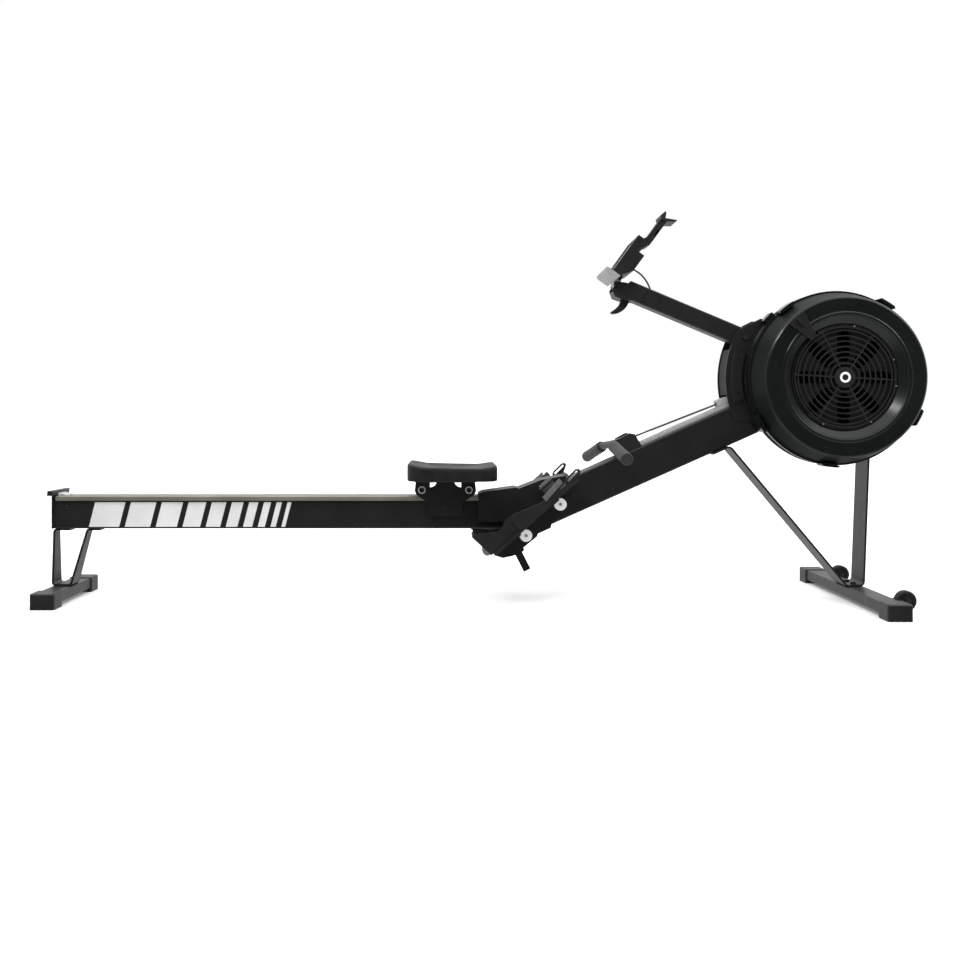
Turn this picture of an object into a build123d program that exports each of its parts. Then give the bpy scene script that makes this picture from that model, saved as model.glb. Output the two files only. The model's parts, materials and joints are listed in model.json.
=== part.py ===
from build123d import *
from math import atan2, asin, cos, degrees, hypot, radians, sin, sqrt, tan
import os

# Air rowing machine, millimetres. +X runs from the rear foot to the fan, +Y away from the fan's
# open side, +Z up. The origin is on the floor, below the middle of the whole machine.

# ---------------------------------------------------------------- driving dimensions
FAN_X, FAN_Z = 984.0, 630.0            # flywheel axle
FAN_R = 242.0                          # rear rim of the fan housing
FAN_BACK_Y, FAN_SEAM_Y, FAN_FACE_Y = -42.0, -93.0, -165.0
FACE_R, LIP_R, GRILLE_R = 216.0, 176.0, 137.4        # flat face, raised lip and grille

BEAM_X, BEAM_Z, BEAM_ANGLE = 592.0, 446.5, 24.0   # a point on the main beam's centre line
BEAM_DEPTH, BEAM_WIDTH, BEAM_WALL = 100.0, 74.0, 3.0
BEAM_LOW_X, BEAM_HIGH_X = 118.0, 786.0

RAIL_WIDTH, RAIL_HEIGHT, RAIL_WALL = 56.0, 80.0, 3.0
RAIL_BOTTOM, RAIL_REAR_X, RAIL_FRONT_X = 205.0, -1214.0, 112.0
RAIL_TOP = RAIL_BOTTOM + RAIL_HEIGHT
TRACK_WIDTH, TRACK_THICK = 74.0, 13.0
TRACK_TOP = RAIL_TOP + TRACK_THICK
TRACK_REAR_X, TRACK_FRONT_X = -1205.0, 40.0

PLATE_OUT, PLATE_THICK = 41.0, 4.0     # outer face and thickness of the fan's side plates
GUARD_R = 292.0                        # side plates' edge, round the axle

REAR_FOOT_X, REAR_FOOT_W, REAR_FOOT_Y = -1191.0, 60.0, 162.0
FRONT_FOOT_X, FRONT_FOOT_W, FRONT_FOOT_Y = 1061.0, 57.0, 307.0
FOOT_LOW, FOOT_HIGH = 11.0, 41.0       # underside and top of both foot bars
LEG_THICK, LEG_HALF = 5.5, 40.0        # front leg: one bent flat bar
POST_X, POST_LEAN = 1083.7, 2.2

SEAT_X, SEAT_LENGTH, SEAT_WIDTH = -81.0, 256.0, 290.0
SEAT_BOTTOM, SEAT_TOP = 345.0, 398.0
ROLLER_R, UPPER_AXLES, LOWER_AXLE_X = 18.0, (-167.0, -34.0), -101.0
ROLL_GAP = 0.3
UPPER_AXLE_Z = TRACK_TOP + ROLLER_R + ROLL_GAP
LOWER_R = 19.5
LOWER_AXLE_Z = RAIL_TOP - LOWER_R - ROLL_GAP

HEEL_X, HEEL_Z, BOARD_ANGLE, BOARD_LENGTH = 31.0, 152.0, 42.3, 304.0
BOARD_IN, BOARD_OUT = 47.0, 160.0      # footboards' inner and outer edges

OUTLET_X, OUTLET_Z = 684.0, 562.0      # where the chain leaves the housing
HANDLE_X, HANDLE_Z = 394.0, 447.0      # chain's end at the handle
GRIP_R = 16.5

ARM_X, ARM_Z, ARM_ANGLE = 748.0, 748.4, -22.8     # monitor arm's pivot and slope
ARM_LENGTH, ARM_DEPTH, ARM_WIDTH = 357.0, 51.0, 50.0
TILT_X, TILT_Z = 388.0, 898.0
MON_X, MON_Z, MON_ANGLE, MON_HALF = 368.0, 933.0, 54.0, 75.0

WHEEL_X, WHEEL_Y, WHEEL_R, WHEEL_Z = 1118.0, 210.0, 27.0, 36.0

os.makedirs("parts", exist_ok=True)


# ---------------------------------------------------------------- helpers
def save(piece, label):
    """Label a finished piece and write it."""
    piece.part.label = label
    export_step(piece.part, f"parts/{label}.step")


def side_plane(x, z, angle=0.0, y=0.0):
    """A plane seen from the fan's open side: local x along `angle`, local y up, normal to -Y."""
    a = radians(angle)
    return Plane(origin=(x, y, z), x_dir=(cos(a), 0, sin(a)), z_dir=(0, -1, 0))


def top_plane(x, z, angle=0.0, up=0.0):
    """A plane along `angle` in XZ with its normal upwards: local x along it, local y to +Y."""
    a = radians(angle)
    return Plane(
        origin=(x - up * sin(a), 0, z + up * cos(a)),
        x_dir=(cos(a), 0, sin(a)),
        z_dir=(-sin(a), 0, cos(a)),
    )


def beam_plane(along=0.0, up=0.0):
    """Top plane of the main beam's own frame, `along` from its reference point."""
    a = radians(BEAM_ANGLE)
    return top_plane(BEAM_X + along * cos(a), BEAM_Z + along * sin(a), BEAM_ANGLE, up)


def beam_side(along=0.0, up=0.0, y=0.0):
    """Side plane of the main beam's own frame."""
    a = radians(BEAM_ANGLE)
    x = BEAM_X + along * cos(a) - up * sin(a)
    z = BEAM_Z + along * sin(a) + up * cos(a)
    return side_plane(x, z, BEAM_ANGLE, y)


def fan_point(radius, angle):
    """A point round the fan's axle, as X and Z."""
    return FAN_X + radius * cos(radians(angle)), FAN_Z + radius * sin(radians(angle))


def y_plane(y, x=0.0, z=0.0):
    """Side plane at one Y."""
    return side_plane(x, z, 0.0, y)


def ring_solid(x, z, y_low, y_high, r_out, r_in):
    """A ring or disc with its axis along Y."""
    with BuildPart() as ring:
        with BuildSketch(y_plane(y_high, x, z)):
            Circle(r_out)
            if r_in:
                Circle(r_in, mode=Mode.SUBTRACT)
        extrude(amount=y_high - y_low)
    return ring


FAN_PLANE = Plane(origin=(FAN_X, 0, FAN_Z))
FAN_AXIS = Axis((FAN_X, 0, FAN_Z), (0, 1, 0))


# ---------------------------------------------------------------- main beam
def make_main_beam():
    length = (BEAM_HIGH_X - BEAM_LOW_X) / cos(radians(BEAM_ANGLE)) + 200
    start = Plane(
        origin=beam_plane((BEAM_LOW_X - BEAM_X) / cos(radians(BEAM_ANGLE)) - 100).origin,
        x_dir=(0, 1, 0),
        z_dir=(cos(radians(BEAM_ANGLE)), 0, sin(radians(BEAM_ANGLE))),
    )
    with BuildPart() as main_beam:
        with BuildSketch(start):
            RectangleRounded(BEAM_WIDTH, BEAM_DEPTH, 6)
            RectangleRounded(BEAM_WIDTH - 2 * BEAM_WALL, BEAM_DEPTH - 2 * BEAM_WALL, 3,
                             mode=Mode.SUBTRACT)
        extrude(amount=length)
        with BuildSketch(y_plane(0)):
            with BuildLine():
                Polyline((BEAM_LOW_X, 0), (BEAM_HIGH_X, 0), (BEAM_HIGH_X, 900), (BEAM_LOW_X, 900),
                         close=True)
            make_face()
        extrude(amount=BEAM_WIDTH, both=True, mode=Mode.INTERSECT)
        # the return pulley's pin crosses the beam
        with BuildSketch(beam_side(-360)):
            Circle(4)
        extrude(amount=BEAM_WIDTH, both=True, mode=Mode.SUBTRACT)
    save(main_beam, "main_beam")


def make_beam_channel():
    width, height, wall = 44.0, 9.0, 2.0
    with BuildPart() as channel:
        with BuildSketch(beam_plane(-96, BEAM_DEPTH / 2)):
            with Locations((98, 0)):
                Rectangle(400, width)
        extrude(amount=height)
        with BuildSketch(beam_plane(-96, BEAM_DEPTH / 2 + wall)):
            with Locations((98, 0)):
                Rectangle(401, width - 2 * wall)
        extrude(amount=height, mode=Mode.SUBTRACT)
    save(channel, "beam_channel")


def make_rail_socket():
    """Joint plate at the beam's foot, with the spigot that the monorail slides over."""
    fit = 0.5
    with BuildPart() as socket:
        with BuildSketch(Plane(origin=(RAIL_FRONT_X, 0, 0), x_dir=(0, 1, 0), z_dir=(1, 0, 0))):
            with Locations((0, 246)):
                RectangleRounded(BEAM_WIDTH, 112, 6)
        extrude(amount=BEAM_LOW_X - RAIL_FRONT_X)
        with BuildSketch(Plane(origin=(RAIL_FRONT_X, 0, 0), x_dir=(0, 1, 0), z_dir=(1, 0, 0))):
            with Locations((0, RAIL_BOTTOM + RAIL_HEIGHT / 2)):
                Rectangle(RAIL_WIDTH - 2 * RAIL_WALL - 2 * fit, RAIL_HEIGHT - 2 * RAIL_WALL - 2 * fit)
                Rectangle(RAIL_WIDTH - 2 * RAIL_WALL - 12, RAIL_HEIGHT - 2 * RAIL_WALL - 12,
                          mode=Mode.SUBTRACT)
        extrude(amount=-160)
    save(socket, "rail_socket")


# ---------------------------------------------------------------- fan housing and side plates
def post_x(z):
    """Middle of the leaning post of the front leg at one height."""
    return POST_X + (z - FOOT_HIGH) * tan(radians(POST_LEAN))


POST_JOIN_HIGH = (post_x(600) - LEG_THICK / 2 - 0.2, 600)
POST_JOIN_LOW = (post_x(515) - LEG_THICK / 2 - 0.2, 515)


def plate_outline(grow=0.0):
    """Outline of a side plate: round nose on the axle's circle, lobes at both ends."""
    radius = GUARD_R + grow
    top, low = fan_point(radius, 152), fan_point(radius, 203)
    nose = fan_point(radius, 178)
    with BuildLine() as line:
        ThreePointArc(low, nose, top)
        Line(top, (790, 800 + grow))
        Line((790, 800 + grow), (880, 800 + grow))
        Line((880, 800 + grow), (1080, 690))
        Line((1080, 690), POST_JOIN_HIGH)
        Line(POST_JOIN_HIGH, POST_JOIN_LOW)
        Line(POST_JOIN_LOW, (800, 500 - grow))
        Line((800, 500 - grow), low)
    return line


def make_side_plate(label, y_high):
    with BuildPart() as plate:
        with BuildSketch(y_plane(y_high)) as outline:
            with BuildLine():
                add(plate_outline().line)
            make_face()
            fillet(outline.vertices().group_by(Axis.X)[0], 14)
        extrude(amount=PLATE_THICK)
        with BuildSketch(y_plane(y_high, FAN_X, FAN_Z)):
            Circle(20)
        extrude(amount=PLATE_THICK, mode=Mode.SUBTRACT)
        with BuildSketch(y_plane(y_high)):
            with Locations((ARM_X, ARM_Z)):
                Circle(6)
        extrude(amount=PLATE_THICK, mode=Mode.SUBTRACT)
    save(plate, label)


def make_housing_covers():
    """Mouldings round the side plates' nose: the curved guard between them and a cover each side."""
    half = PLATE_OUT - PLATE_THICK
    with BuildPart() as covers:
        with BuildSketch(y_plane(half)):
            with BuildLine():
                a = CenterArc((FAN_X, FAN_Z), GUARD_R - 3, 163, 26)
                b = CenterArc((FAN_X, FAN_Z), GUARD_R - 6, 163, 26)
                Line(a @ 0, b @ 0)
                Line(a @ 1, b @ 1)
            make_face()
        extrude(amount=2 * half)
        for y_high in (-PLATE_OUT, PLATE_OUT + 9.0):
            with BuildSketch(y_plane(y_high)):
                with BuildLine():
                    nose = CenterArc((FAN_X, FAN_Z), GUARD_R - 12, 162, 33)
                    back = CenterArc((FAN_X, FAN_Z), FAN_R + 4, 164, 29)
                    Line(nose @ 0, back @ 0)
                    Line(nose @ 1, back @ 1)
                make_face()
            extrude(amount=9.0)
            with BuildSketch(y_plane(y_high)):
                for angle in (168, 189):
                    with Locations(fan_point(GUARD_R - 28, angle)):
                        Circle(4)
            extrude(amount=9.0, mode=Mode.SUBTRACT)
        chamfer(covers.faces().sort_by(Axis.Y)[0].outer_wire().edges(), 2)
        chamfer(covers.faces().sort_by(Axis.Y)[-1].outer_wire().edges(), 2)
    save(covers, "housing_covers")


def make_chain_outlet():
    with BuildPart() as outlet:
        with BuildSketch(side_plane(OUTLET_X + 10, OUTLET_Z + 2, 20)):
            RectangleRounded(38, 24, 3)
        extrude(amount=14, both=True)
        with BuildSketch(side_plane(OUTLET_X + 10, OUTLET_Z + 2, 20)):
            Rectangle(50, 13)
        extrude(amount=8, both=True, mode=Mode.SUBTRACT)
    save(outlet, "chain_outlet")


def make_fan_rear():
    """Drum behind the seam: back wall, band and two raised rims."""
    wall = 3.0
    band = FAN_R - 3.0
    y0, y1 = FAN_SEAM_Y + 1.0, FAN_BACK_Y
    with BuildPart() as rear:
        with BuildSketch(FAN_PLANE):
            with BuildLine():
                Polyline((22, y1), (FAN_R - 2, y1), (FAN_R, y1 - 2), (FAN_R, y1 - 12), (band, y1 - 13),
                         (band, y0 + 11), (FAN_R, y0 + 10), (FAN_R, y0), (band - wall, y0),
                         (band - wall, y1 - wall), (22, y1 - wall), close=True)
            make_face()
        revolve(axis=FAN_AXIS)
        # air slots in the back wall, seen from the far side
        with BuildSketch(y_plane(FAN_BACK_Y, FAN_X, FAN_Z)):
            with PolarLocations(0, 24):
                with Locations((175, 0)):
                    SlotOverall(70, 8)
        extrude(amount=wall, mode=Mode.SUBTRACT)
        # seat for the side plates' nose: boss on the upper left of the drum
        with BuildSketch(y_plane(FAN_BACK_Y - 6)):
            with Locations(Location(fan_point(FAN_R + 3, 137), 47)):
                RectangleRounded(34, 18, 4)
            with Locations((FAN_X, FAN_Z)):
                Circle(band - 0.5, mode=Mode.SUBTRACT)
        extrude(amount=30)
    save(rear, "fan_rear_housing")


def make_fan_cover():
    """Front shell: side wall, glossy flat annulus, rolled lip and cone down to the grille."""
    y0, y1 = FAN_SEAM_Y - 1.0, FAN_FACE_Y
    with BuildPart() as cover:
        with BuildSketch(FAN_PLANE):
            with BuildLine():
                a = Line((233.5, y0), (237, y0))
                b = Line(a @ 1, (FACE_R + 5, y1 + 9))
                c = TangentArc(b @ 1, (FACE_R - 3, y1), tangent=b % 1)
                d = Line(c @ 1, (LIP_R + 2, y1))
                e = ThreePointArc(d @ 1, (LIP_R - 4, y1 - 2.5), (LIP_R - 10, y1 + 1.5))
                f = Line(e @ 1, (GRILLE_R + 9.4, y1 + 16))
                g = Line(f @ 1, (GRILLE_R + 7.2, y1 + 19))
                h = Line(g @ 1, (GRILLE_R + 10, y1 + 19))
                i = Line(h @ 1, (GRILLE_R + 11.6, y1 + 18))
                j = Line(i @ 1, (LIP_R - 7.6, y1 + 4.4))
                k = Line(j @ 1, (LIP_R + 1, y1 + 3))
                m = Line(k @ 1, (FACE_R - 4, y1 + 3))
                n = Line(m @ 1, (FACE_R + 1.5, y1 + 9))
                Line(n @ 1, a @ 0)
            make_face()
        revolve(axis=FAN_AXIS)
    save(cover, "fan_cover")


def make_fan_grille():
    pitch, first, bar = 14.7, 24.5, 3.4
    y_front = FAN_FACE_Y + 13.0
    outer = GRILLE_R
    with BuildPart() as grille:
        with BuildSketch(y_plane(y_front + 4.0, FAN_X, FAN_Z)):
            Circle(outer)
            Circle(outer - 3.0, mode=Mode.SUBTRACT)
            for k in range(7, 0, -1):
                radius = first + pitch * k
                Circle(radius + bar / 2)
                Circle(radius - bar / 2, mode=Mode.SUBTRACT)
            Circle(first + 3.5)
            for turn in (-3, 57, 117):
                with Locations(Location((0, 0), turn)):
                    Rectangle(2 * outer - 2, 3.2)
        extrude(amount=4.0)
        # flange to the cover all round, except along the damper lever's slot
        with BuildSketch(y_plane(y_front + 8.0, FAN_X, FAN_Z)):
            Circle(outer + 5.6)
            Circle(outer - 3.0, mode=Mode.SUBTRACT)
            with BuildLine():
                s0 = CenterArc((0, 0), outer, 121, 104)
                s1 = CenterArc((0, 0), outer + 7, 121, 104)
                Line(s0 @ 0, s1 @ 0)
                Line(s0 @ 1, s1 @ 1)
            make_face(mode=Mode.SUBTRACT)
        extrude(amount=4.0)
    save(grille, "fan_grille")


CLIP_ANGLES = (57.5, 127.0, 264.0, 333.0)
LUG_ANGLE = 211.0


def make_fan_clips():
    """Spring clips over the seam and the larger bolted lug low on the beam's side."""
    with BuildPart() as clips:
        for angle in CLIP_ANGLES:
            with BuildSketch(y_plane(-80)):
                with BuildLine():
                    i = CenterArc((FAN_X, FAN_Z), FAN_R, angle - 6, 12)
                    o = CenterArc((FAN_X, FAN_Z), FAN_R + 5, angle - 5, 10)
                    Line(i @ 0, o @ 0)
                    Line(i @ 1, o @ 1)
                make_face()
            extrude(amount=40)
            with BuildSketch(y_plane(-108)):
                with BuildLine():
                    i = CenterArc((FAN_X, FAN_Z), 237.4, angle - 4, 8)
                    o = CenterArc((FAN_X, FAN_Z), FAN_R + 1, angle - 4, 8)
                    Line(i @ 0, o @ 0)
                    Line(i @ 1, o @ 1)
                make_face()
            extrude(amount=12)
        with BuildSketch(y_plane(-46)):
            with BuildLine():
                i = CenterArc((FAN_X, FAN_Z), FAN_R, LUG_ANGLE - 6.5, 13)
                o = CenterArc((FAN_X, FAN_Z), FAN_R + 12, LUG_ANGLE - 5, 10)
                Line(i @ 0, o @ 0)
                Line(i @ 1, o @ 1)
            make_face()
        extrude(amount=62)
        with BuildSketch(y_plane(-46)):
            with Locations(fan_point(FAN_R + 6, LUG_ANGLE)):
                Circle(3.2)
        extrude(amount=62, mode=Mode.SUBTRACT)
    save(clips, "fan_clips")


def make_drive_cover():
    """Shallow dish over the sprocket side, bolted to the far side plate."""
    with BuildPart() as dish:
        with BuildSketch(FAN_PLANE):
            with BuildLine():
                Polyline((24, PLATE_OUT + 20), (24, PLATE_OUT + 23), (118, PLATE_OUT + 23),
                         (130, PLATE_OUT + 14), (133, PLATE_OUT), (130, PLATE_OUT),
                         (127.4, PLATE_OUT + 12), (117, PLATE_OUT + 20), close=True)
            make_face()
        revolve(axis=FAN_AXIS)
        with BuildSketch(y_plane(PLATE_OUT + 24, FAN_X, FAN_Z)):
            with PolarLocations(0, 12):
                with Locations((82, 0)):
                    SlotOverall(44, 7)
        extrude(amount=6, mode=Mode.SUBTRACT)
    save(dish, "drive_cover")


# ---------------------------------------------------------------- flywheel, axle, damper, drive
AXLE_R = 8.5


def make_flywheel():
    """Steel disc with a heavy rim and pressed fan blades."""
    blades = 24
    with BuildPart() as wheel:
        with BuildSketch(FAN_PLANE):
            with BuildLine():
                Polyline((AXLE_R, -50), (30, -50), (30, -58), (180, -58), (180, -50), (204, -50),
                         (204, -74), (180, -74), (180, -61), (30, -61), (30, -104), (AXLE_R, -104),
                         close=True)
            make_face()
        revolve(axis=FAN_AXIS)
        with BuildSketch(y_plane(-61, FAN_X, FAN_Z)):
            with PolarLocations(0, blades):
                with Locations(Location((118, 0), 12)):
                    Rectangle(118, 2.2)
        extrude(amount=43)
    save(wheel, "flywheel")
    axle = ring_solid(FAN_X, FAN_Z, -108, 62, AXLE_R, 0)
    save(axle, "flywheel_axle")


def make_bearings():
    with BuildPart() as bearings:
        for y_high in (-29.0, 41.0):
            with BuildSketch(y_plane(y_high, FAN_X, FAN_Z)):
                Circle(20)
                Circle(AXLE_R + 0.03, mode=Mode.SUBTRACT)
            extrude(amount=12)
    save(bearings, "axle_bearings")


SPROCKET_R = 22.0


def make_sprocket():
    """Sprocket on its one-way clutch, turning on the axle."""
    teeth = 14
    with BuildPart() as sprocket:
        with BuildSketch(y_plane(2, FAN_X, FAN_Z)):
            Circle(SPROCKET_R + 2.2)
            with PolarLocations(SPROCKET_R + 2.6, teeth):
                Circle(2.6, mode=Mode.SUBTRACT)
        extrude(amount=4)
        with BuildSketch(y_plane(12, FAN_X, FAN_Z)):
            Circle(16)
        extrude(amount=24)
        with BuildSketch(y_plane(12, FAN_X, FAN_Z)):
            Circle(AXLE_R + 0.05)
        extrude(amount=24, mode=Mode.SUBTRACT)
    save(sprocket, "drive_sprocket")


def make_damper():
    """Shutter ring behind the grille with its lever out through the arc slot."""
    y_ring = FAN_FACE_Y + 27.0
    with BuildPart() as damper:
        with BuildSketch(y_plane(y_ring, FAN_X, FAN_Z)):
            Circle(GRILLE_R + 4.6)
            Circle(34, mode=Mode.SUBTRACT)
            with PolarLocations(0, 8):
                with Locations((86, 0)):
                    SlotOverall(88, 34, mode=Mode.SUBTRACT)
        extrude(amount=2.0)
        a = 131
        with BuildSketch(y_plane(y_ring - 2.0)):
            with Locations(Location(fan_point(GRILLE_R + 2.6, a), a)):
                Rectangle(3.0, 10)
        extrude(amount=30.0)
        with BuildSketch(y_plane(FAN_FACE_Y - 3.2)):
            with BuildLine():
                i = CenterArc((FAN_X, FAN_Z), GRILLE_R + 1.1, a - 4, 8)
                o = CenterArc((FAN_X, FAN_Z), FACE_R - 4, a - 7, 14)
                Line(i @ 0, o @ 0)
                Line(i @ 1, o @ 1)
            make_face()
        extrude(amount=2.6)
        with BuildSketch(y_plane(FAN_FACE_Y - 5.8)):
            with Locations(Location(fan_point(196, a), a)):
                RectangleRounded(26, 9, 3)
        extrude(amount=8)
    save(damper, "damper")


def tangent_from(px, pz, radius, side):
    """Tangent point on the circle round the axle, from an outside point; side +1 is above."""
    dx, dz = FAN_X - px, FAN_Z - pz
    d = hypot(dx, dz)
    heading = atan2(dz, dx) + side * asin(radius / d)
    run = sqrt(d * d - radius * radius)
    return px + run * cos(heading), pz + run * sin(heading)


CHAIN_R = SPROCKET_R + 5.0
CORD_X, CORD_Z = BEAM_X + 208.0, BEAM_Z + 208.0 * tan(radians(BEAM_ANGLE))


def make_inner_chain():
    """Chain from the outlet over the sprocket and back to the return cord."""
    start = (OUTLET_X + 22, OUTLET_Z + 7)
    top = tangent_from(*start, CHAIN_R, 1)
    low = tangent_from(CORD_X, CORD_Z, CHAIN_R, -1)
    with BuildPart() as chain:
        with BuildSketch(y_plane(0)):
            with BuildLine() as path:
                Line(start, top)
                ThreePointArc(top, (FAN_X + CHAIN_R, FAN_Z), low)
                Line(low, (CORD_X, CORD_Z))
            trace(path.line, 5.0)
        extrude(amount=4, both=True)
    save(chain, "inner_chain")


PULLEY_R = 14.0


def make_shock_cord():
    """Return cord inside the beam, round its pulley and back to the anchor."""
    high = (CORD_X - BEAM_X) / cos(radians(BEAM_ANGLE))
    low, offset_up = -360.0, PULLEY_R
    with BuildPart() as cord:
        with BuildLine(beam_side()) as path:
            a = Line((high - 4, 0), (high - 60, offset_up * 0.999))
            b = Line(a @ 1, (low, offset_up))
            c = ThreePointArc(b @ 1, (low - offset_up, 0), (low, -offset_up))
            Line(c @ 1, (150, -offset_up))
        with BuildSketch(Plane(origin=path.line @ 0, z_dir=path.line % 0)):
            Circle(4)
        sweep(path=path.line, transition=Transition.RIGHT)
    save(cord, "shock_cord")
    with BuildPart() as pulley:
        with BuildSketch(beam_side(low, 0, 5)):
            Circle(PULLEY_R - 4.4)
            Circle(4.05, mode=Mode.SUBTRACT)
        extrude(amount=10)
    save(pulley, "return_pulley")


# ---------------------------------------------------------------- legs and feet
def beam_under(x):
    """Height of the leg flange's middle when it lies against the beam's underside."""
    a = radians(BEAM_ANGLE)
    return BEAM_Z + (x - BEAM_X) * tan(a) - (BEAM_DEPTH / 2 + LEG_THICK / 2) / cos(a)


def make_front_leg():
    """One flat bar: flange under the beam, diagonal, flat on the foot bar, leaning post."""
    flat = FOOT_HIGH + LEG_THICK / 2
    with BuildPart() as leg:
        with BuildSketch(y_plane(0)):
            with BuildLine() as path:
                FilletPolyline((657.0, beam_under(657.0)), (705.0, beam_under(705.0)),
                               (1036.0, flat), (POST_X, flat),
                               (post_x(600), 600), radius=14)
            trace(path.line, LEG_THICK)
        extrude(amount=LEG_HALF, both=True)
    save(leg, "front_leg")


def foot_caps(x, width, y_out, length):
    """End caps of a foot bar, each a closed box with a pocket and a ribbed sole."""
    with BuildPart() as caps:
        for side in (-1, 1):
            middle = side * (y_out - length / 2)
            with BuildSketch(Plane.XY):
                with Locations((x, middle)):
                    RectangleRounded(width + 8, length, 7)
            extrude(amount=FOOT_HIGH + 3)
        chamfer(caps.edges().group_by(Axis.Z)[-1], 3)
        for side in (-1, 1):
            middle = side * (y_out - length / 2)
            with BuildSketch(Plane(origin=(x, middle - side * 7, 0), x_dir=(1, 0, 0),
                                   z_dir=(0, -1, 0))):
                with Locations((0, (FOOT_LOW + FOOT_HIGH) / 2)):
                    Rectangle(width, FOOT_HIGH - FOOT_LOW)
            extrude(amount=length / 2, both=True, mode=Mode.SUBTRACT)
            for k in (-1, 0, 1):
                with BuildSketch(Plane.XY):
                    with Locations((x + k * (width + 8) / 4, middle)):
                        Rectangle(3, length)
                extrude(amount=2, mode=Mode.SUBTRACT)
    return caps


def foot_bar(x, width, y_out):
    """Rectangular tube across the floor."""
    with BuildPart() as bar:
        with BuildSketch(Plane.XZ.offset(-y_out)):
            with Locations((x, (FOOT_LOW + FOOT_HIGH) / 2)):
                RectangleRounded(width, FOOT_HIGH - FOOT_LOW, 3)
                RectangleRounded(width - 5, FOOT_HIGH - FOOT_LOW - 5, 1.5, mode=Mode.SUBTRACT)
        extrude(amount=2 * y_out)
    return bar


CAP_LENGTH, CAP_WALL = 58.0, 7.0


def make_feet():
    rear = foot_bar(REAR_FOOT_X, REAR_FOOT_W, REAR_FOOT_Y - CAP_WALL)
    save(rear, "rear_foot_bar")
    save(foot_caps(REAR_FOOT_X, REAR_FOOT_W, REAR_FOOT_Y, CAP_LENGTH), "rear_foot_caps")
    save(foot_caps(FRONT_FOOT_X, FRONT_FOOT_W, FRONT_FOOT_Y, CAP_LENGTH), "front_foot_caps")
    front = foot_bar(FRONT_FOOT_X, FRONT_FOOT_W, FRONT_FOOT_Y - CAP_WALL)
    face = FRONT_FOOT_X + FRONT_FOOT_W / 2
    ear, gap = 3.0, 24.0
    with BuildPart() as bar:
        add(front.part)
        for side in (-1, 1):
            for edge in (-1, 1):
                y = side * WHEEL_Y + edge * (gap + ear) / 2
                with BuildSketch(y_plane(y + ear / 2)):
                    with BuildLine():
                        Polyline((face, 16), (face, 40), (WHEEL_X, WHEEL_Z + 9),
                                 (WHEEL_X + 9, WHEEL_Z), (WHEEL_X, WHEEL_Z - 9), close=True)
                    make_face()
                    with Locations((WHEEL_X, WHEEL_Z)):
                        Circle(4, mode=Mode.SUBTRACT)
                extrude(amount=ear)
    save(bar, "front_foot_bar")
    for side, label in ((-1, "near"), (1, "far")):
        with BuildPart() as wheel:
            with BuildSketch(y_plane(side * WHEEL_Y + 11, WHEEL_X, WHEEL_Z)):
                Circle(WHEEL_R)
                Circle(4.06, mode=Mode.SUBTRACT)
            extrude(amount=22)
            fillet(wheel.edges().filter_by(GeomType.CIRCLE).group_by(SortBy.RADIUS)[-1], 4)
            for y in (side * WHEEL_Y + 11, side * WHEEL_Y - 7):
                with BuildSketch(y_plane(y, WHEEL_X, WHEEL_Z)):
                    Circle(20)
                    Circle(9, mode=Mode.SUBTRACT)
                extrude(amount=4, mode=Mode.SUBTRACT)
        save(wheel, f"transport_wheel_{label}")


def make_rear_leg():
    """Bent flat bar under the monorail's rear end, wider at the foot."""
    thick = 6.5
    high, low = RAIL_BOTTOM - thick / 2, FOOT_HIGH + thick / 2
    with BuildPart() as leg:
        with BuildSketch(y_plane(0)):
            with BuildLine() as path:
                FilletPolyline((-1172, high), (-1217, high), (-1217, low), (-1166, low),
                               (-1122, high), (-1086, high), radius=9)
            trace(path.line, thick)
        extrude(amount=30, both=True)
        with BuildSketch(Plane.YZ.offset(-1230)):
            with BuildLine():
                Polyline((-28, FOOT_HIGH - 1), (28, FOOT_HIGH - 1), (16, RAIL_BOTTOM + 1),
                         (-16, RAIL_BOTTOM + 1), close=True)
            make_face()
        extrude(amount=160, mode=Mode.INTERSECT)
    save(leg, "rear_leg")


# ---------------------------------------------------------------- monorail
RAIL_BOLTS = ((-1176.0, 266.0), (-39.0, 255.0))


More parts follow.
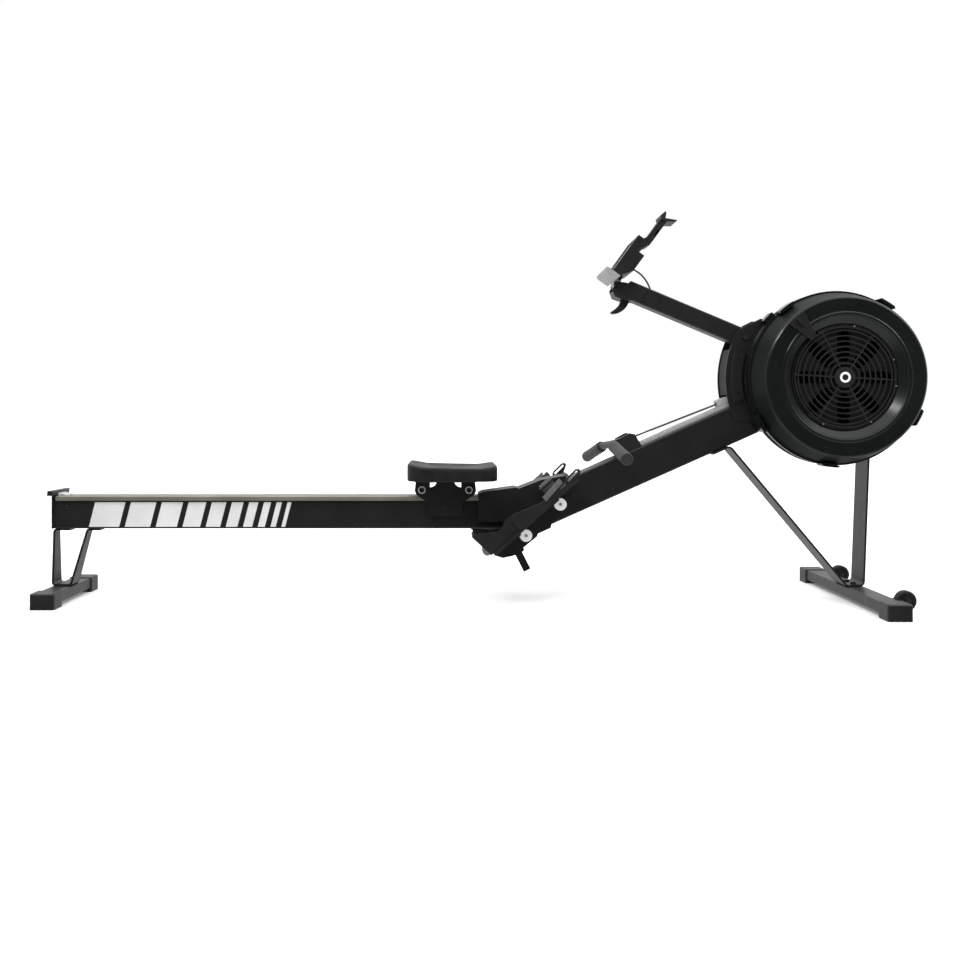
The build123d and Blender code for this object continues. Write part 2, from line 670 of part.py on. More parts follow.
def make_rail():
    with BuildPart() as rail:
        with BuildSketch(Plane.YZ.offset(RAIL_REAR_X)):
            with Locations((0, RAIL_BOTTOM + RAIL_HEIGHT / 2)):
                RectangleRounded(RAIL_WIDTH, RAIL_HEIGHT, 4)
                Rectangle(RAIL_WIDTH - 2 * RAIL_WALL, RAIL_HEIGHT - 2 * RAIL_WALL,
                          mode=Mode.SUBTRACT)
        extrude(amount=RAIL_FRONT_X - RAIL_REAR_X)
        # shallow recesses round the bolts, both sides
        for y_high in (RAIL_WIDTH / 2, -RAIL_WIDTH / 2 + 1):
            with BuildSketch(y_plane(y_high)):
                with Locations(RAIL_BOLTS[1]):
                    Rectangle(26, 30)
                with Locations((RAIL_BOLTS[0][0] - 20, RAIL_BOLTS[0][1] - 8)):
                    Rectangle(4, 30)
            extrude(amount=1, mode=Mode.SUBTRACT)
    save(rail, "rail_beam")
    with BuildPart() as track:
        with BuildSketch(Plane.YZ.offset(TRACK_REAR_X)) as profile:
            with Locations((0, RAIL_TOP + TRACK_THICK / 2)):
                Rectangle(TRACK_WIDTH, TRACK_THICK)
            chamfer(profile.vertices().group_by(Axis.Y)[-1], 2)
            with Locations((0, TRACK_TOP)):
                Rectangle(26, 3, mode=Mode.SUBTRACT)
        extrude(amount=TRACK_FRONT_X - TRACK_REAR_X)
    save(track, "track_cap")
    with BuildPart() as bolts:
        for (x, z), sink in zip(RAIL_BOLTS, (0.0, 1.0)):
            for side in (-1, 1):
                y = side * (RAIL_WIDTH / 2 - sink)
                with BuildSketch(Plane(origin=(x, y, z), x_dir=(1, 0, 0), z_dir=(0, side, 0))):
                    Circle(6.5)
                    RegularPolygon(3.2, 6, mode=Mode.SUBTRACT)
                extrude(amount=3.5)
    save(bolts, "rail_bolts")


def make_rear_end_plate():
    """End plate of the monorail with the raised bar that stops the seat."""
    with BuildPart() as plate:
        with BuildSketch(y_plane(31)):
            with BuildLine():
                Polyline((RAIL_REAR_X, 205), (RAIL_REAR_X, 299), (-1209, 314), (-1217, 314),
                         (-1219, 299), (-1219, 205), close=True)
            make_face()
        extrude(amount=62)
        with BuildSketch(y_plane(61)):
            with BuildLine():
                Polyline((-1206, 300.5), (-1204, 314), (-1218, 314), (-1219.5, 300.5), close=True)
            make_face()
        extrude(amount=122)
    save(plate, "rear_end_plate")


# ---------------------------------------------------------------- seat
PLATE_IN, PLATE_OUT_Y = 40.0, 44.0
PAN_LOW = SEAT_BOTTOM - 4.0


def make_seat():
    with BuildPart() as pad:
        with BuildSketch(Plane.XY.offset(SEAT_BOTTOM)):
            with Locations((SEAT_X, 0)):
                RectangleRounded(SEAT_LENGTH - 6, SEAT_WIDTH - 6, 34)
        extrude(amount=SEAT_TOP - SEAT_BOTTOM)
        fillet(pad.edges().group_by(Axis.Z)[-1], 8)
        with BuildSketch(y_plane(SEAT_WIDTH / 2)):
            with Locations((SEAT_X + 20, SEAT_TOP + 482)):
                Circle(500)
        extrude(amount=SEAT_WIDTH, mode=Mode.SUBTRACT)
    save(pad, "seat_pad")


def make_carriage():
    x0, x1 = UPPER_AXLES
    low = 243.0
    lobe = 20.0
    with BuildPart() as carriage:
        with BuildSketch(Plane.XY.offset(PAN_LOW)):
            with Locations((SEAT_X - 19, 0)):
                RectangleRounded(172, 190, 10)
        extrude(amount=4)
        for y_high in (-PLATE_IN, PLATE_OUT_Y):
            with BuildSketch(y_plane(y_high)):
                with BuildLine():
                    Polyline((x0 - 17, PAN_LOW), (x1 + 17, PAN_LOW), (x1 + lobe, UPPER_AXLE_Z),
                             (x1 + 10, 299), (LOWER_AXLE_X + 49, 279), (LOWER_AXLE_X + 49, low + 6),
                             (LOWER_AXLE_X + 43, low), (LOWER_AXLE_X - 43, low),
                             (LOWER_AXLE_X - 49, low + 6), (LOWER_AXLE_X - 49, 279),
                             (x0 - 10, 299), (x0 - lobe, UPPER_AXLE_Z), close=True)
                make_face()
                with Locations((x0, UPPER_AXLE_Z), (x1, UPPER_AXLE_Z)):
                    Circle(lobe)
                with Locations((x0, UPPER_AXLE_Z), (x1, UPPER_AXLE_Z)):
                    Circle(5, mode=Mode.SUBTRACT)
                with Locations((LOWER_AXLE_X, LOWER_AXLE_Z)):
                    Circle(4, mode=Mode.SUBTRACT)
            extrude(amount=PLATE_OUT_Y - PLATE_IN)
            # quarter-round windows just under the pan
            with BuildSketch(y_plane(y_high)):
                for x, turn in ((x0 + 21, 270), (x1 - 21, 180)):
                    with BuildLine():
                        arc = CenterArc((x, PAN_LOW - 4), 20, turn, 90)
                        Line(arc @ 0, (x, PAN_LOW - 4))
                        Line((x, PAN_LOW - 4), arc @ 1)
                    make_face()
            extrude(amount=PLATE_OUT_Y - PLATE_IN, mode=Mode.SUBTRACT)
    save(carriage, "seat_carriage")

    with BuildPart() as axles:
        for x in UPPER_AXLES:
            with BuildSketch(y_plane(PLATE_OUT_Y, x, UPPER_AXLE_Z)):
                Circle(5)
            extrude(amount=2 * PLATE_OUT_Y)
            for y_high in (-PLATE_OUT_Y, PLATE_OUT_Y + 5):
                with BuildSketch(y_plane(y_high, x, UPPER_AXLE_Z)):
                    Circle(10.5)
                extrude(amount=5)
            for side in (-1, 1):
                with BuildSketch(Plane(origin=(x, side * (PLATE_OUT_Y + 5), UPPER_AXLE_Z),
                                       x_dir=(1, 0, 0), z_dir=(0, side, 0))):
                    RegularPolygon(6, 6)
                extrude(amount=-3, mode=Mode.SUBTRACT)
        for side in (-1, 1):
            with BuildSketch(Plane(origin=(LOWER_AXLE_X, side * 28.6, LOWER_AXLE_Z),
                                   x_dir=(1, 0, 0), z_dir=(0, side, 0))):
                Circle(4)
            extrude(amount=PLATE_OUT_Y - 28.6)
            with BuildSketch(Plane(origin=(LOWER_AXLE_X, side * PLATE_OUT_Y, LOWER_AXLE_Z),
                                   x_dir=(1, 0, 0), z_dir=(0, side, 0))):
                Circle(7)
                RegularPolygon(3, 6, mode=Mode.SUBTRACT)
            extrude(amount=4)
    save(axles, "roller_axles")


def rollers(x, z, radius, bore, y_in, width, label):
    """A pair of plain rollers, one each side of the monorail's middle."""
    with BuildPart() as pair:
        for y_high in (-y_in, y_in + width):
            with BuildSketch(y_plane(y_high, x, z)):
                Circle(radius)
                Circle(bore, mode=Mode.SUBTRACT)
            extrude(amount=width)
    save(pair, label)


def make_rollers():
    for x, label in zip(UPPER_AXLES, ("upper_rollers_rear", "upper_rollers_front")):
        rollers(x, UPPER_AXLE_Z, ROLLER_R, 5.05, 18.5, 15.0, label)
    rollers(LOWER_AXLE_X, LOWER_AXLE_Z, LOWER_R, 4.05, 29.2, 8.0, "lower_rollers")


# ---------------------------------------------------------------- foot stretchers
BOARD_THICK = 8.0
KNOBS = ((95.0, -38.0), (226.0, -38.0))


def board_side(y=0.0):
    """Side plane of the footboards' frame: local x from heel to toe, local y up from the sole."""
    return side_plane(HEEL_X, HEEL_Z, BOARD_ANGLE, y)


def board_top(up=0.0):
    """Top plane of the footboards' frame, `up` above the sole's surface."""
    return top_plane(HEEL_X, HEEL_Z, BOARD_ANGLE, up)


def make_footboard(side, label):
    """Sole plate with ribs and a raised outer rim that ends in the strap loop at the toe."""
    middle, width = side * (BOARD_IN + BOARD_OUT) / 2, BOARD_OUT - BOARD_IN
    with BuildPart() as board:
        with BuildSketch(board_top(-BOARD_THICK)) as sole:
            with Locations((BOARD_LENGTH / 2, middle)):
                Rectangle(BOARD_LENGTH, width)
            fillet(sole.vertices().group_by(Axis.X)[-1], 18)
            with Locations((STRAP_X, middle - 46), (STRAP_X, middle + 46)):
                SlotOverall(42, 5, mode=Mode.SUBTRACT)
        extrude(amount=BOARD_THICK)
        with BuildSketch(board_top(0)):
            for x in range(30, 190, 20):
                with Locations((x, middle)):
                    SlotOverall(80, 4, rotation=90)
        extrude(amount=-2, mode=Mode.SUBTRACT)
        y_high = side * BOARD_OUT if side > 0 else -BOARD_OUT + 4
        with BuildSketch(board_side(y_high)) as rim:
            with BuildLine():
                Polyline((94, -4), (97, 36), (102, 45), (110, 44), (138, 34), (181, 18),
                         (206, 13), (228, 12), (268, 6), (276, 17), (284, 19.5), (317, 21),
                         (325, 16), (325, 9), (316, 3), (300, -4), close=True)
            make_face()
            with Locations(Location((299, 12.5), 3)):
                SlotOverall(38, 6, mode=Mode.SUBTRACT)
        extrude(amount=4)
    save(board, label)


def make_heel_cup(side, label):
    """Sliding heel cup: base, heel wall, tall outer wall and low inner wall."""
    outer, inner = BOARD_OUT - 6.5, BOARD_IN + 8.0
    middle, width = side * (outer + inner) / 2, outer - inner
    with BuildPart() as cup:
        with BuildSketch(board_top(0.4)):
            with Locations((50, middle)):
                Rectangle(116, width)
        extrude(amount=5)
        with BuildSketch(board_side(max(side * outer, side * inner))):
            with BuildLine():
                Polyline((-8, 0.4), (-14, 72), (-6, 74), (4, 20), (8, 0.4), close=True)
            make_face()
        extrude(amount=width)
        for y_out, points in (
            (outer, ((-8, 0.4), (-14, 72), (-4, 72), (52, 34), (90, 47), (106, 40), (108, 0.4))),
            (inner + 4, ((-8, 0.4), (-14, 72), (-4, 70), (30, 26), (108, 16), (108, 0.4))),
        ):
            y_high = y_out if side > 0 else -y_out + 4
            with BuildSketch(board_side(y_high)):
                with BuildLine():
                    Polyline(*points, close=True)
                make_face()
            extrude(amount=4)
        with BuildSketch(board_top(6)):
            for x in (34, 56, 78):
                with Locations((x, middle)):
                    SlotOverall(70, 5, rotation=90)
        extrude(amount=-2, mode=Mode.SUBTRACT)
    save(cup, label)


STRAP_X, STRAP_WIDTH, STRAP_RISE = 232.0, 38.0, 44.0


def make_foot_straps():
    """Webbing strap arched over each foot, its ends down through the sole's slots."""
    with BuildPart() as straps:
        for side in (-1, 1):
            middle = side * (BOARD_IN + BOARD_OUT) / 2
            across = Plane(
                origin=board_top(0).from_local_coords((STRAP_X - STRAP_WIDTH / 2, middle, 0)),
                x_dir=(0, 1, 0),
                z_dir=(cos(radians(BOARD_ANGLE)), 0, sin(radians(BOARD_ANGLE))),
            )
            with BuildSketch(across):
                with BuildLine() as path:
                    up = Line((-46, 0.3), (-46, 26))
                    down = Line((46, 26), (46, 0.3))
                    Spline(up @ 1, (0, STRAP_RISE), down @ 0,
                           tangents=((0, 1), (0, -1)))
                trace(path.line, 2.4)
            extrude(amount=STRAP_WIDTH)
    save(straps, "foot_straps")


def make_stretcher_bracket():
    """Flanges on both sides of the beam's foot, wings under the soles and the storage stub."""
    flange_in, flange = BEAM_WIDTH / 2 + 0.2, 6.0
    with BuildPart() as bracket:
        for y_high in (-flange_in, flange_in + flange):
            with BuildSketch(board_side(y_high)) as shape:
                with BuildLine():
                    Polyline((-6, -BOARD_THICK), (262, -BOARD_THICK), (256, -48), (228, -60),
                             (194, -66), (170, -64), (161, -70), (124, -58), (115, -62),
                             (66, -59), (64, -66), (50, -66), (28, -56), (4, -42), (-9, -20),
                             close=True)
                make_face()
                fillet(shape.vertices(), 2)
            extrude(amount=flange)
        for side in (-1, 1):
            with BuildSketch(board_top(-BOARD_THICK - 5)):
                for x in (70, 210):
                    with Locations((x, side * 95)):
                        Rectangle(40, 2 * (95 - flange_in - flange / 2))
            extrude(amount=5)
        # block across under the beam's foot, and the stub tube that points down from it
        with BuildSketch(board_side(0)):
            with Locations((72, -50)):
                RectangleRounded(44, 18, 3)
        extrude(amount=flange_in + flange / 2, both=True)
        with BuildSketch(side_plane(109, 132, -63)):
            with Locations((6, 0)):
                Rectangle(96, 21)
        extrude(amount=10.5, both=True)
    save(bracket, "stretcher_bracket")
    with BuildPart() as knobs:
        for side in (-1, 1):
            for x, up in KNOBS:
                seat = board_side(side * (flange_in + flange)).from_local_coords((x, up, 0))
                with BuildSketch(Plane(origin=seat, x_dir=(1, 0, 0), z_dir=(0, side, 0))):
                    Circle(17.5)
                extrude(amount=9)
        chamfer(knobs.edges().filter_by(GeomType.CIRCLE), 1.5)
    save(knobs, "stretcher_knobs")


def make_junction_cover():
    """Moulded shell over the joint of monorail and beam."""
    wall, half = 3.0, 43.6
    top = ((-7, 304), (6, 310), (98, 323), (108, 320), (172, 345), (236, 356))
    with BuildPart() as cover:
        with BuildSketch(y_plane(half)):
            with BuildLine():
                Polyline((-7, 226), *top, (256, 342), (214, 300), (150, 262), (96, 226), close=True)
            make_face()
        extrude(amount=2 * half)
        with BuildSketch(y_plane(half - wall)):
            with BuildLine():
                Polyline((-8, 200), *((x, z - 4) for x, z in top), (300, 376), (300, 200), close=True)
            make_face()
        extrude(amount=2 * (half - wall), mode=Mode.SUBTRACT)
        # keep clear of the flanges that carry the footboards
        with BuildSketch(board_side(0)):
            with Locations((130, -52)):
                Rectangle(300, 90)
        extrude(amount=half + 1, both=True, mode=Mode.SUBTRACT)
    save(cover, "junction_cover")


# ---------------------------------------------------------------- handle, chain and cradle
GRIP_ENDS = ((376.0, -235.0, 412.0), (341.0, 235.0, 399.0))
GRIP_ROOTS = ((364.0, -88.0, 444.0), (366.0, 88.0, 437.0))
CORE_R = 11.0


def rod(start, end, radius, bore=0.0):
    """Round bar or tube between two points."""
    a, b = Vector(*tuple(start)), Vector(*tuple(end))
    with BuildPart() as bar:
        with BuildSketch(Plane(origin=a, z_dir=(b - a).normalized())):
            Circle(radius)
            if bore:
                Circle(bore, mode=Mode.SUBTRACT)
        extrude(amount=(b - a).length)
    return bar


def make_handle():
    centre = (HANDLE_X - 14, 0.0, HANDLE_Z - 2)
    chain_angle = degrees(atan2(OUTLET_Z - HANDLE_Z, OUTLET_X - HANDLE_X))
    with BuildPart() as bar:
        for root, end in zip(GRIP_ROOTS, GRIP_ENDS):
            add(rod(centre, root, CORE_R).part)
            add(rod(root, end, CORE_R).part)
            with Locations(root):
                Sphere(CORE_R)
        with Locations(centre):
            Sphere(CORE_R)
        with BuildSketch(side_plane(HANDLE_X - 8, HANDLE_Z - 1, chain_angle)):
            RectangleRounded(42, 20, 5)
        extrude(amount=17, both=True)
        with BuildSketch(side_plane(HANDLE_X + 17, HANDLE_Z + 8, chain_angle)):
            RectangleRounded(24, 10, 4)
        extrude(amount=5.5, both=True)
    save(bar, "handle_bar")
    with BuildPart() as grips:
        for root, end in zip(GRIP_ROOTS, GRIP_ENDS):
            direction = (Vector(*end) - Vector(*root)).normalized()
            inner = Vector(*root) + direction * 8
            outer = Vector(*end) + direction * 4
            add(rod(inner, end, GRIP_R, CORE_R).part)
            add(rod(end, outer, GRIP_R).part)
        fillet(grips.edges().filter_by(GeomType.CIRCLE).group_by(SortBy.RADIUS)[-1], 2.5)
    save(grips, "handle_grips")


def make_chain():
    """The chain's visible run, from the handle to the outlet."""
    start, end = (HANDLE_X + 31, 0, HANDLE_Z + 12.9), (OUTLET_X + 6, 0, OUTLET_Z + 1.5)
    length = hypot(end[0] - start[0], end[2] - start[2])
    angle = degrees(atan2(end[2] - start[2], end[0] - start[0]))
    with BuildPart() as chain:
        with BuildSketch(side_plane((start[0] + end[0]) / 2, (start[2] + end[2]) / 2, angle)):
            Rectangle(length, 6.5)
        extrude(amount=3.5, both=True)
    save(chain, "chain")


def make_cradle():
    """Rest for the handle on top of the beam: a base, a ledge and two uprights."""
    with BuildPart() as cradle:
        for y_high in (-23.0, 36.0):
            with BuildSketch(beam_side(-165, BEAM_DEPTH / 2, y_high)):
                with BuildLine():
                    Polyline((-34, 0), (-40, 15.5), (-18, 15.5), (-12, 44), (22, 46), (34, 38),
                             (38, 0), close=True)
                make_face()
            extrude(amount=13)
    save(cradle, "handle_cradle")


# ---------------------------------------------------------------- monitor arm and monitor
PIVOT_R, TILT_PIN_R = 6.0, 4.0


def arm_side(y=0.0):
    return side_plane(ARM_X, ARM_Z, ARM_ANGLE, y)


def make_arm():
    wall = 2.5
    tip = Plane(
        origin=side_plane(ARM_X, ARM_Z, ARM_ANGLE).from_local_coords((-ARM_LENGTH, 0, 0)),
        x_dir=(0, 1, 0),
        z_dir=(cos(radians(ARM_ANGLE)), 0, sin(radians(ARM_ANGLE))),
    )
    with BuildPart() as arm:
        with BuildSketch(tip):
            RectangleRounded(ARM_WIDTH, ARM_DEPTH, 5)
            RectangleRounded(ARM_WIDTH - 2 * wall, ARM_DEPTH - 2 * wall, 2.5, mode=Mode.SUBTRACT)
        extrude(amount=ARM_LENGTH + 40)
        with BuildSketch(arm_side()):
            Circle(PIVOT_R + 0.05)
        extrude(amount=ARM_WIDTH, both=True, mode=Mode.SUBTRACT)
    save(arm, "monitor_arm")

    cheek = ARM_WIDTH / 2
    with BuildPart() as bracket:
        for y_high in (-cheek, cheek + 4):
            with BuildSketch(y_plane(y_high)) as shape:
                with BuildLine():
                    Polyline((374, 886), (382, 864), (408, 855), (428, 853), (462, 850),
                             (466, 884), (414, 904), (388, 908), close=True)
                make_face()
                fillet(shape.vertices(), 4)
                with Locations((TILT_X, TILT_Z)):
                    Circle(9.5)
            extrude(amount=4)
        with BuildSketch(y_plane(cheek + 8, TILT_X, TILT_Z)):
            Circle(TILT_PIN_R)
        extrude(amount=2 * cheek + 16)
        for y_high in (-cheek - 4, cheek + 9):
            with BuildSketch(y_plane(y_high, TILT_X, TILT_Z)):
                RegularPolygon(7, 6)
            extrude(amount=5)
        # closing strip across the tip, and the claw below it
        with BuildSketch(y_plane(cheek)):
            with BuildLine() as path:
                FilletPolyline((375.8, 880), (383, 865.8), (409, 856.6), radius=5)
            trace(path.line, 2.4)
        extrude(amount=2 * cheek)
        with BuildSketch(y_plane(9)):
            with BuildLine():
                Spline((401, 858), (397, 843), (385, 831), (373, 823))
                Line((373, 823), (376, 818))
                Spline((376, 818), (394, 820), (412, 831), (425, 855))
                Line((425, 855), (401, 858))
            make_face()
        extrude(amount=18)
    save(bracket, "arm_bracket")


def monitor_side(y=0.0):
    """Side plane of the monitor: local x up its face, local y out of the screen."""
    return side_plane(MON_X, MON_Z, MON_ANGLE, y)


def monitor_face(out=0.0):
    """Plane of the monitor's face, `out` in front of it: local x up the face, local y along +Y."""
    a = radians(MON_ANGLE)
    return Plane(
        origin=(MON_X - out * sin(a), 0, MON_Z + out * cos(a)),
        x_dir=(cos(a), 0, sin(a)),
        z_dir=(-sin(a), 0, cos(a)),
    )


BUTTONS = ((12.0, -24.0), (12.0, 24.0))
SCREEN_X, SCREEN_W, SCREEN_H, SCREEN_DEPTH = 70.0, 84.0, 112.0, 4.5


def make_monitor():
    with BuildPart() as case:
        with BuildSketch(monitor_side(MON_HALF)) as shape:
            with BuildLine():
                Polyline((0, 0), (122, 0), (122, -27.5), (84, -27.5), (84, -47.5), (31, -47.5),
                         (8, -29), (-15, -23), (-16, 12), (-13, 20), (-2, 20), (0, 12), close=True)
            make_face()
            fillet(shape.vertices(), 2)
        extrude(amount=2 * MON_HALF)
        fillet(case.faces().sort_by(Axis.Y)[0].outer_wire().edges(), 1.2)
        fillet(case.faces().sort_by(Axis.Y)[-1].outer_wire().edges(), 1.2)
        with BuildSketch(monitor_face(0)):
            with Locations((SCREEN_X, 0)):
                RectangleRounded(SCREEN_W, SCREEN_H, 4)
        extrude(amount=-SCREEN_DEPTH, mode=Mode.SUBTRACT)
        with BuildSketch(monitor_face(20)):
            with Locations(*BUTTONS):
                RectangleRounded(10.6, 26.6, 5)
        extrude(amount=-26, mode=Mode.SUBTRACT)
        # knuckle of the tilt hinge
        with BuildSketch(y_plane(19)):
            with Locations((TILT_X, TILT_Z)):
                Circle(8.5)
            with BuildLine():
                Polyline((380, 901), (396, 901), (406, 925), (376, 915), close=True)
            make_face()
        extrude(amount=38)
        with BuildSketch(y_plane(20)):
            with Locations((TILT_X, TILT_Z)):
                Circle(TILT_PIN_R + 0.05)
        extrude(amount=40, mode=Mode.SUBTRACT)
    save(case, "monitor_case")
    with BuildPart() as screen:
        with BuildSketch(monitor_face(-SCREEN_DEPTH)):
            with Locations((SCREEN_X, 0)):
                RectangleRounded(SCREEN_W, SCREEN_H, 4)
        extrude(amount=1.4)
    save(screen, "monitor_screen")
    for spot, label in zip(BUTTONS, ("button_near", "button_far")):
        with BuildPart() as button:
            with BuildSketch(monitor_face(-3.5)):
                with Locations(spot):
                    RectangleRounded(10.0, 26.0, 4.7)
            extrude(amount=5.5)
            fillet(button.faces().sort_by(Axis((0, 0, 0), (-0.81, 0, 0.59)))[-1].edges(), 0.8)
        save(button, label)


HOLDER_SLOT_Y, HOLDER_OUT = 20.5, -40.5     # the jaw's two tongues in the holder


def make_phone_holder():
    """Phone rest above the monitor and its sprung upper jaw."""
    with BuildPart() as holder:
        with BuildSketch(monitor_side(30)):
            with BuildLine():
                Polyline((110, -27.7), (124, -27.7), (134, -36), (208, -36), (208, -45), (130, -45),
                         (116, -36), (110, -36), close=True)
            make_face()
        extrude(amount=60)
        with BuildSketch(monitor_side(22)):
            with BuildLine():
                Polyline((134, -36), (206, -36), (206, -28), (146, -28), (139, -21), (134, -21),
                         close=True)
            make_face()
        extrude(amount=44)
        for y_high in (HOLDER_SLOT_Y + 10.5, -HOLDER_SLOT_Y + 10.5):
            with BuildSketch(monitor_side(y_high)):
                with Locations((188, HOLDER_OUT)):
                    Rectangle(60, 5.2)
            extrude(amount=21, mode=Mode.SUBTRACT)
    save(holder, "phone_holder")
    with BuildPart() as jaw:
        with BuildSketch(monitor_side(34)):
            with BuildLine():
                Polyline((209, -27), (214, -20), (232, -24), (230, -29), (216, -36), (222, -48),
                         (231, -66), (225, -66), (214, -50), (209, -45), close=True)
            make_face()
        extrude(amount=68)
        for y_high in (HOLDER_SLOT_Y + 8.5, -HOLDER_SLOT_Y + 8.5):
            with BuildSketch(monitor_side(y_high)):
                with Locations((194, HOLDER_OUT)):
                    Rectangle(32, 4.2)
            extrude(amount=17)
    save(jaw, "phone_jaw")


CABLE = ((438.5, 946.5), (447.0, 941.5), (462.0, 931.0), (475.0, 915.0), (484.0, 899.0),
         (487.5, 887.5))
CABLE_R = 2.4


def make_cable():
    """Sensor cable from the monitor's back to the arm."""
    points = [(x, 0, z) for x, z in CABLE]
    radii = []
    for before, here, after in zip(points, points[1:], points[2:]):
        a, b = Vector(*here) - Vector(*before), Vector(*after) - Vector(*here)
        radii.append(0.45 * min(a.length, b.length) / tan(radians(a.get_angle(b)) / 2))
    print("sensor cable radii", [round(r) for r in radii])
    with BuildPart() as cable:
        with BuildLine() as path:
            FilletPolyline(*points, radius=radii)
        with BuildSketch(Plane(origin=path.line @ 0, z_dir=path.line % 0)):
            Circle(CABLE_R)
        sweep(path=path.line)
    length = sum(edge.length for edge in path.edges())
    print("sensor cable length", round(length), "volume ratio",
          round(cable.part.volume / (3.14159 * CABLE_R ** 2 * length), 3))
    save(cable, "sensor_cable")


# ---------------------------------------------------------------- fasteners of the front frame
def make_frame_bolts():
    """Pins, pivots and bolt heads of the front frame, one solid each."""
    arm_out = PLATE_OUT
    with BuildPart() as bolts:
        # arm pivot: pin through both side plates, with a head each side
        with BuildSketch(y_plane(arm_out, ARM_X, ARM_Z)):
            Circle(PIVOT_R)
        extrude(amount=2 * arm_out)
        for y_high in (-arm_out, arm_out + 6):
            with BuildSketch(y_plane(y_high, ARM_X, ARM_Z)):
                RegularPolygon(9, 6)
            extrude(amount=6)
        # return pulley's pin through the beam
        with BuildSketch(beam_side(-360, 0, BEAM_WIDTH / 2)):
            Circle(4)
        extrude(amount=BEAM_WIDTH)
        # transport wheels' axles
        for side in (-1, 1):
            with BuildSketch(y_plane(side * WHEEL_Y + 15, WHEEL_X, WHEEL_Z)):
                Circle(4)
            extrude(amount=30)
            for y_high in (side * WHEEL_Y - 15, side * WHEEL_Y + 19):
                with BuildSketch(y_plane(y_high, WHEEL_X, WHEEL_Z)):
                    RegularPolygon(6.5, 6)
                extrude(amount=4)
        # bolt heads: housing covers and the leg's foot
        for angle in (168, 189):
            for y_high in (-PLATE_OUT, PLATE_OUT + 5):
                with BuildSketch(y_plane(y_high)):
                    with Locations(fan_point(GUARD_R - 28, angle)):
                        Circle(3.9)
                extrude(amount=5)
        with BuildSketch(Plane.XY.offset(FOOT_HIGH + LEG_THICK)):
            with Locations((FRONT_FOOT_X, -22), (FRONT_FOOT_X, 22)):
                RegularPolygon(8, 6)
        extrude(amount=6)
    save(bolts, "frame_bolts")


make_main_beam()
make_beam_channel()
make_rail_socket()
make_side_plate("side_plate_near", -PLATE_OUT + PLATE_THICK)
make_side_plate("side_plate_far", PLATE_OUT)
make_housing_covers()
make_chain_outlet()
make_fan_rear()
make_fan_cover()
make_fan_grille()
make_fan_clips()
make_drive_cover()
make_flywheel()
make_bearings()
make_sprocket()
make_damper()
make_inner_chain()
make_shock_cord()
make_front_leg()
make_feet()
make_rear_leg()
make_rail()
make_rear_end_plate()
make_seat()
make_carriage()
make_rollers()
make_stretcher_bracket()
make_junction_cover()
for board_sign, board_name in ((-1, "near"), (1, "far")):
    make_footboard(board_sign, f"footboard_{board_name}")
    make_heel_cup(board_sign, f"heel_cup_{board_name}")
make_foot_straps()
make_handle()
make_chain()
make_cradle()
make_arm()
make_monitor()
make_phone_holder()
make_cable()
make_frame_bolts()
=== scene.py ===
"""Looks of the air rowing machine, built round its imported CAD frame, in metres and radians."""

import json
import math

import bmesh
import bpy
from mathutils import Matrix, Vector


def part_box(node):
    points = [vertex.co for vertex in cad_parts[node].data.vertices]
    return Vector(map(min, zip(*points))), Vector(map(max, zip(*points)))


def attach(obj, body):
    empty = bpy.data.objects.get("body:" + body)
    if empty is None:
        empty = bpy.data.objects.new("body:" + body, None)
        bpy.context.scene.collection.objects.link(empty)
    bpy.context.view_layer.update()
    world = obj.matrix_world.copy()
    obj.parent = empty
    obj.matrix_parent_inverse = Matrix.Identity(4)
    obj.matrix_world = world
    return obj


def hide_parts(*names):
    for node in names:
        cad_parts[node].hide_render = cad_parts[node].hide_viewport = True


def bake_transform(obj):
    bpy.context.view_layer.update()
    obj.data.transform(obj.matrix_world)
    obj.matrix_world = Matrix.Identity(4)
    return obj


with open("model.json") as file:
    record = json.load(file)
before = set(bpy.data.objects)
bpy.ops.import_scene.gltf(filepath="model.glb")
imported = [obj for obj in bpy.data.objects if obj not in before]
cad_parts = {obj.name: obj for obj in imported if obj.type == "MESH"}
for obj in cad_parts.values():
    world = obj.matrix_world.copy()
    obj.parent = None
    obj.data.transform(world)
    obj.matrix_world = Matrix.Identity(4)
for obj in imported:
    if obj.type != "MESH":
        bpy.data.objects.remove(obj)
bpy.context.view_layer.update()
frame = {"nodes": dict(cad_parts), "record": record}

# ---------------------------------------------------------------- dimensions shared with the CAD
FAN_X, FAN_Z = 0.984, 0.630
BOARD_ANGLE = math.radians(42.3)
HEEL = Vector((0.031, 0.0, 0.152))
MONITOR_ANGLE = math.radians(54.0)
MONITOR = Vector((0.368, 0.0, 0.933))
CHAIN_START, CHAIN_END = Vector((0.425, 0.0, 0.4599)), Vector((0.690, 0.0, 0.5635))
CHAIN_PITCH = 0.00635
GRIPS = (
    (Vector((0.364, -0.088, 0.444)), Vector((0.376, -0.235, 0.412))),
    (Vector((0.366, 0.088, 0.437)), Vector((0.341, 0.235, 0.399))),
)
CABLE = ((0.4385, 0, 0.9465), (0.4470, 0, 0.9415), (0.4620, 0, 0.9310), (0.4750, 0, 0.9150),
         (0.4840, 0, 0.8990), (0.4875, 0, 0.8875))
CABLE_R = 0.0024
SIDES = {"near": -1, "far": 1}


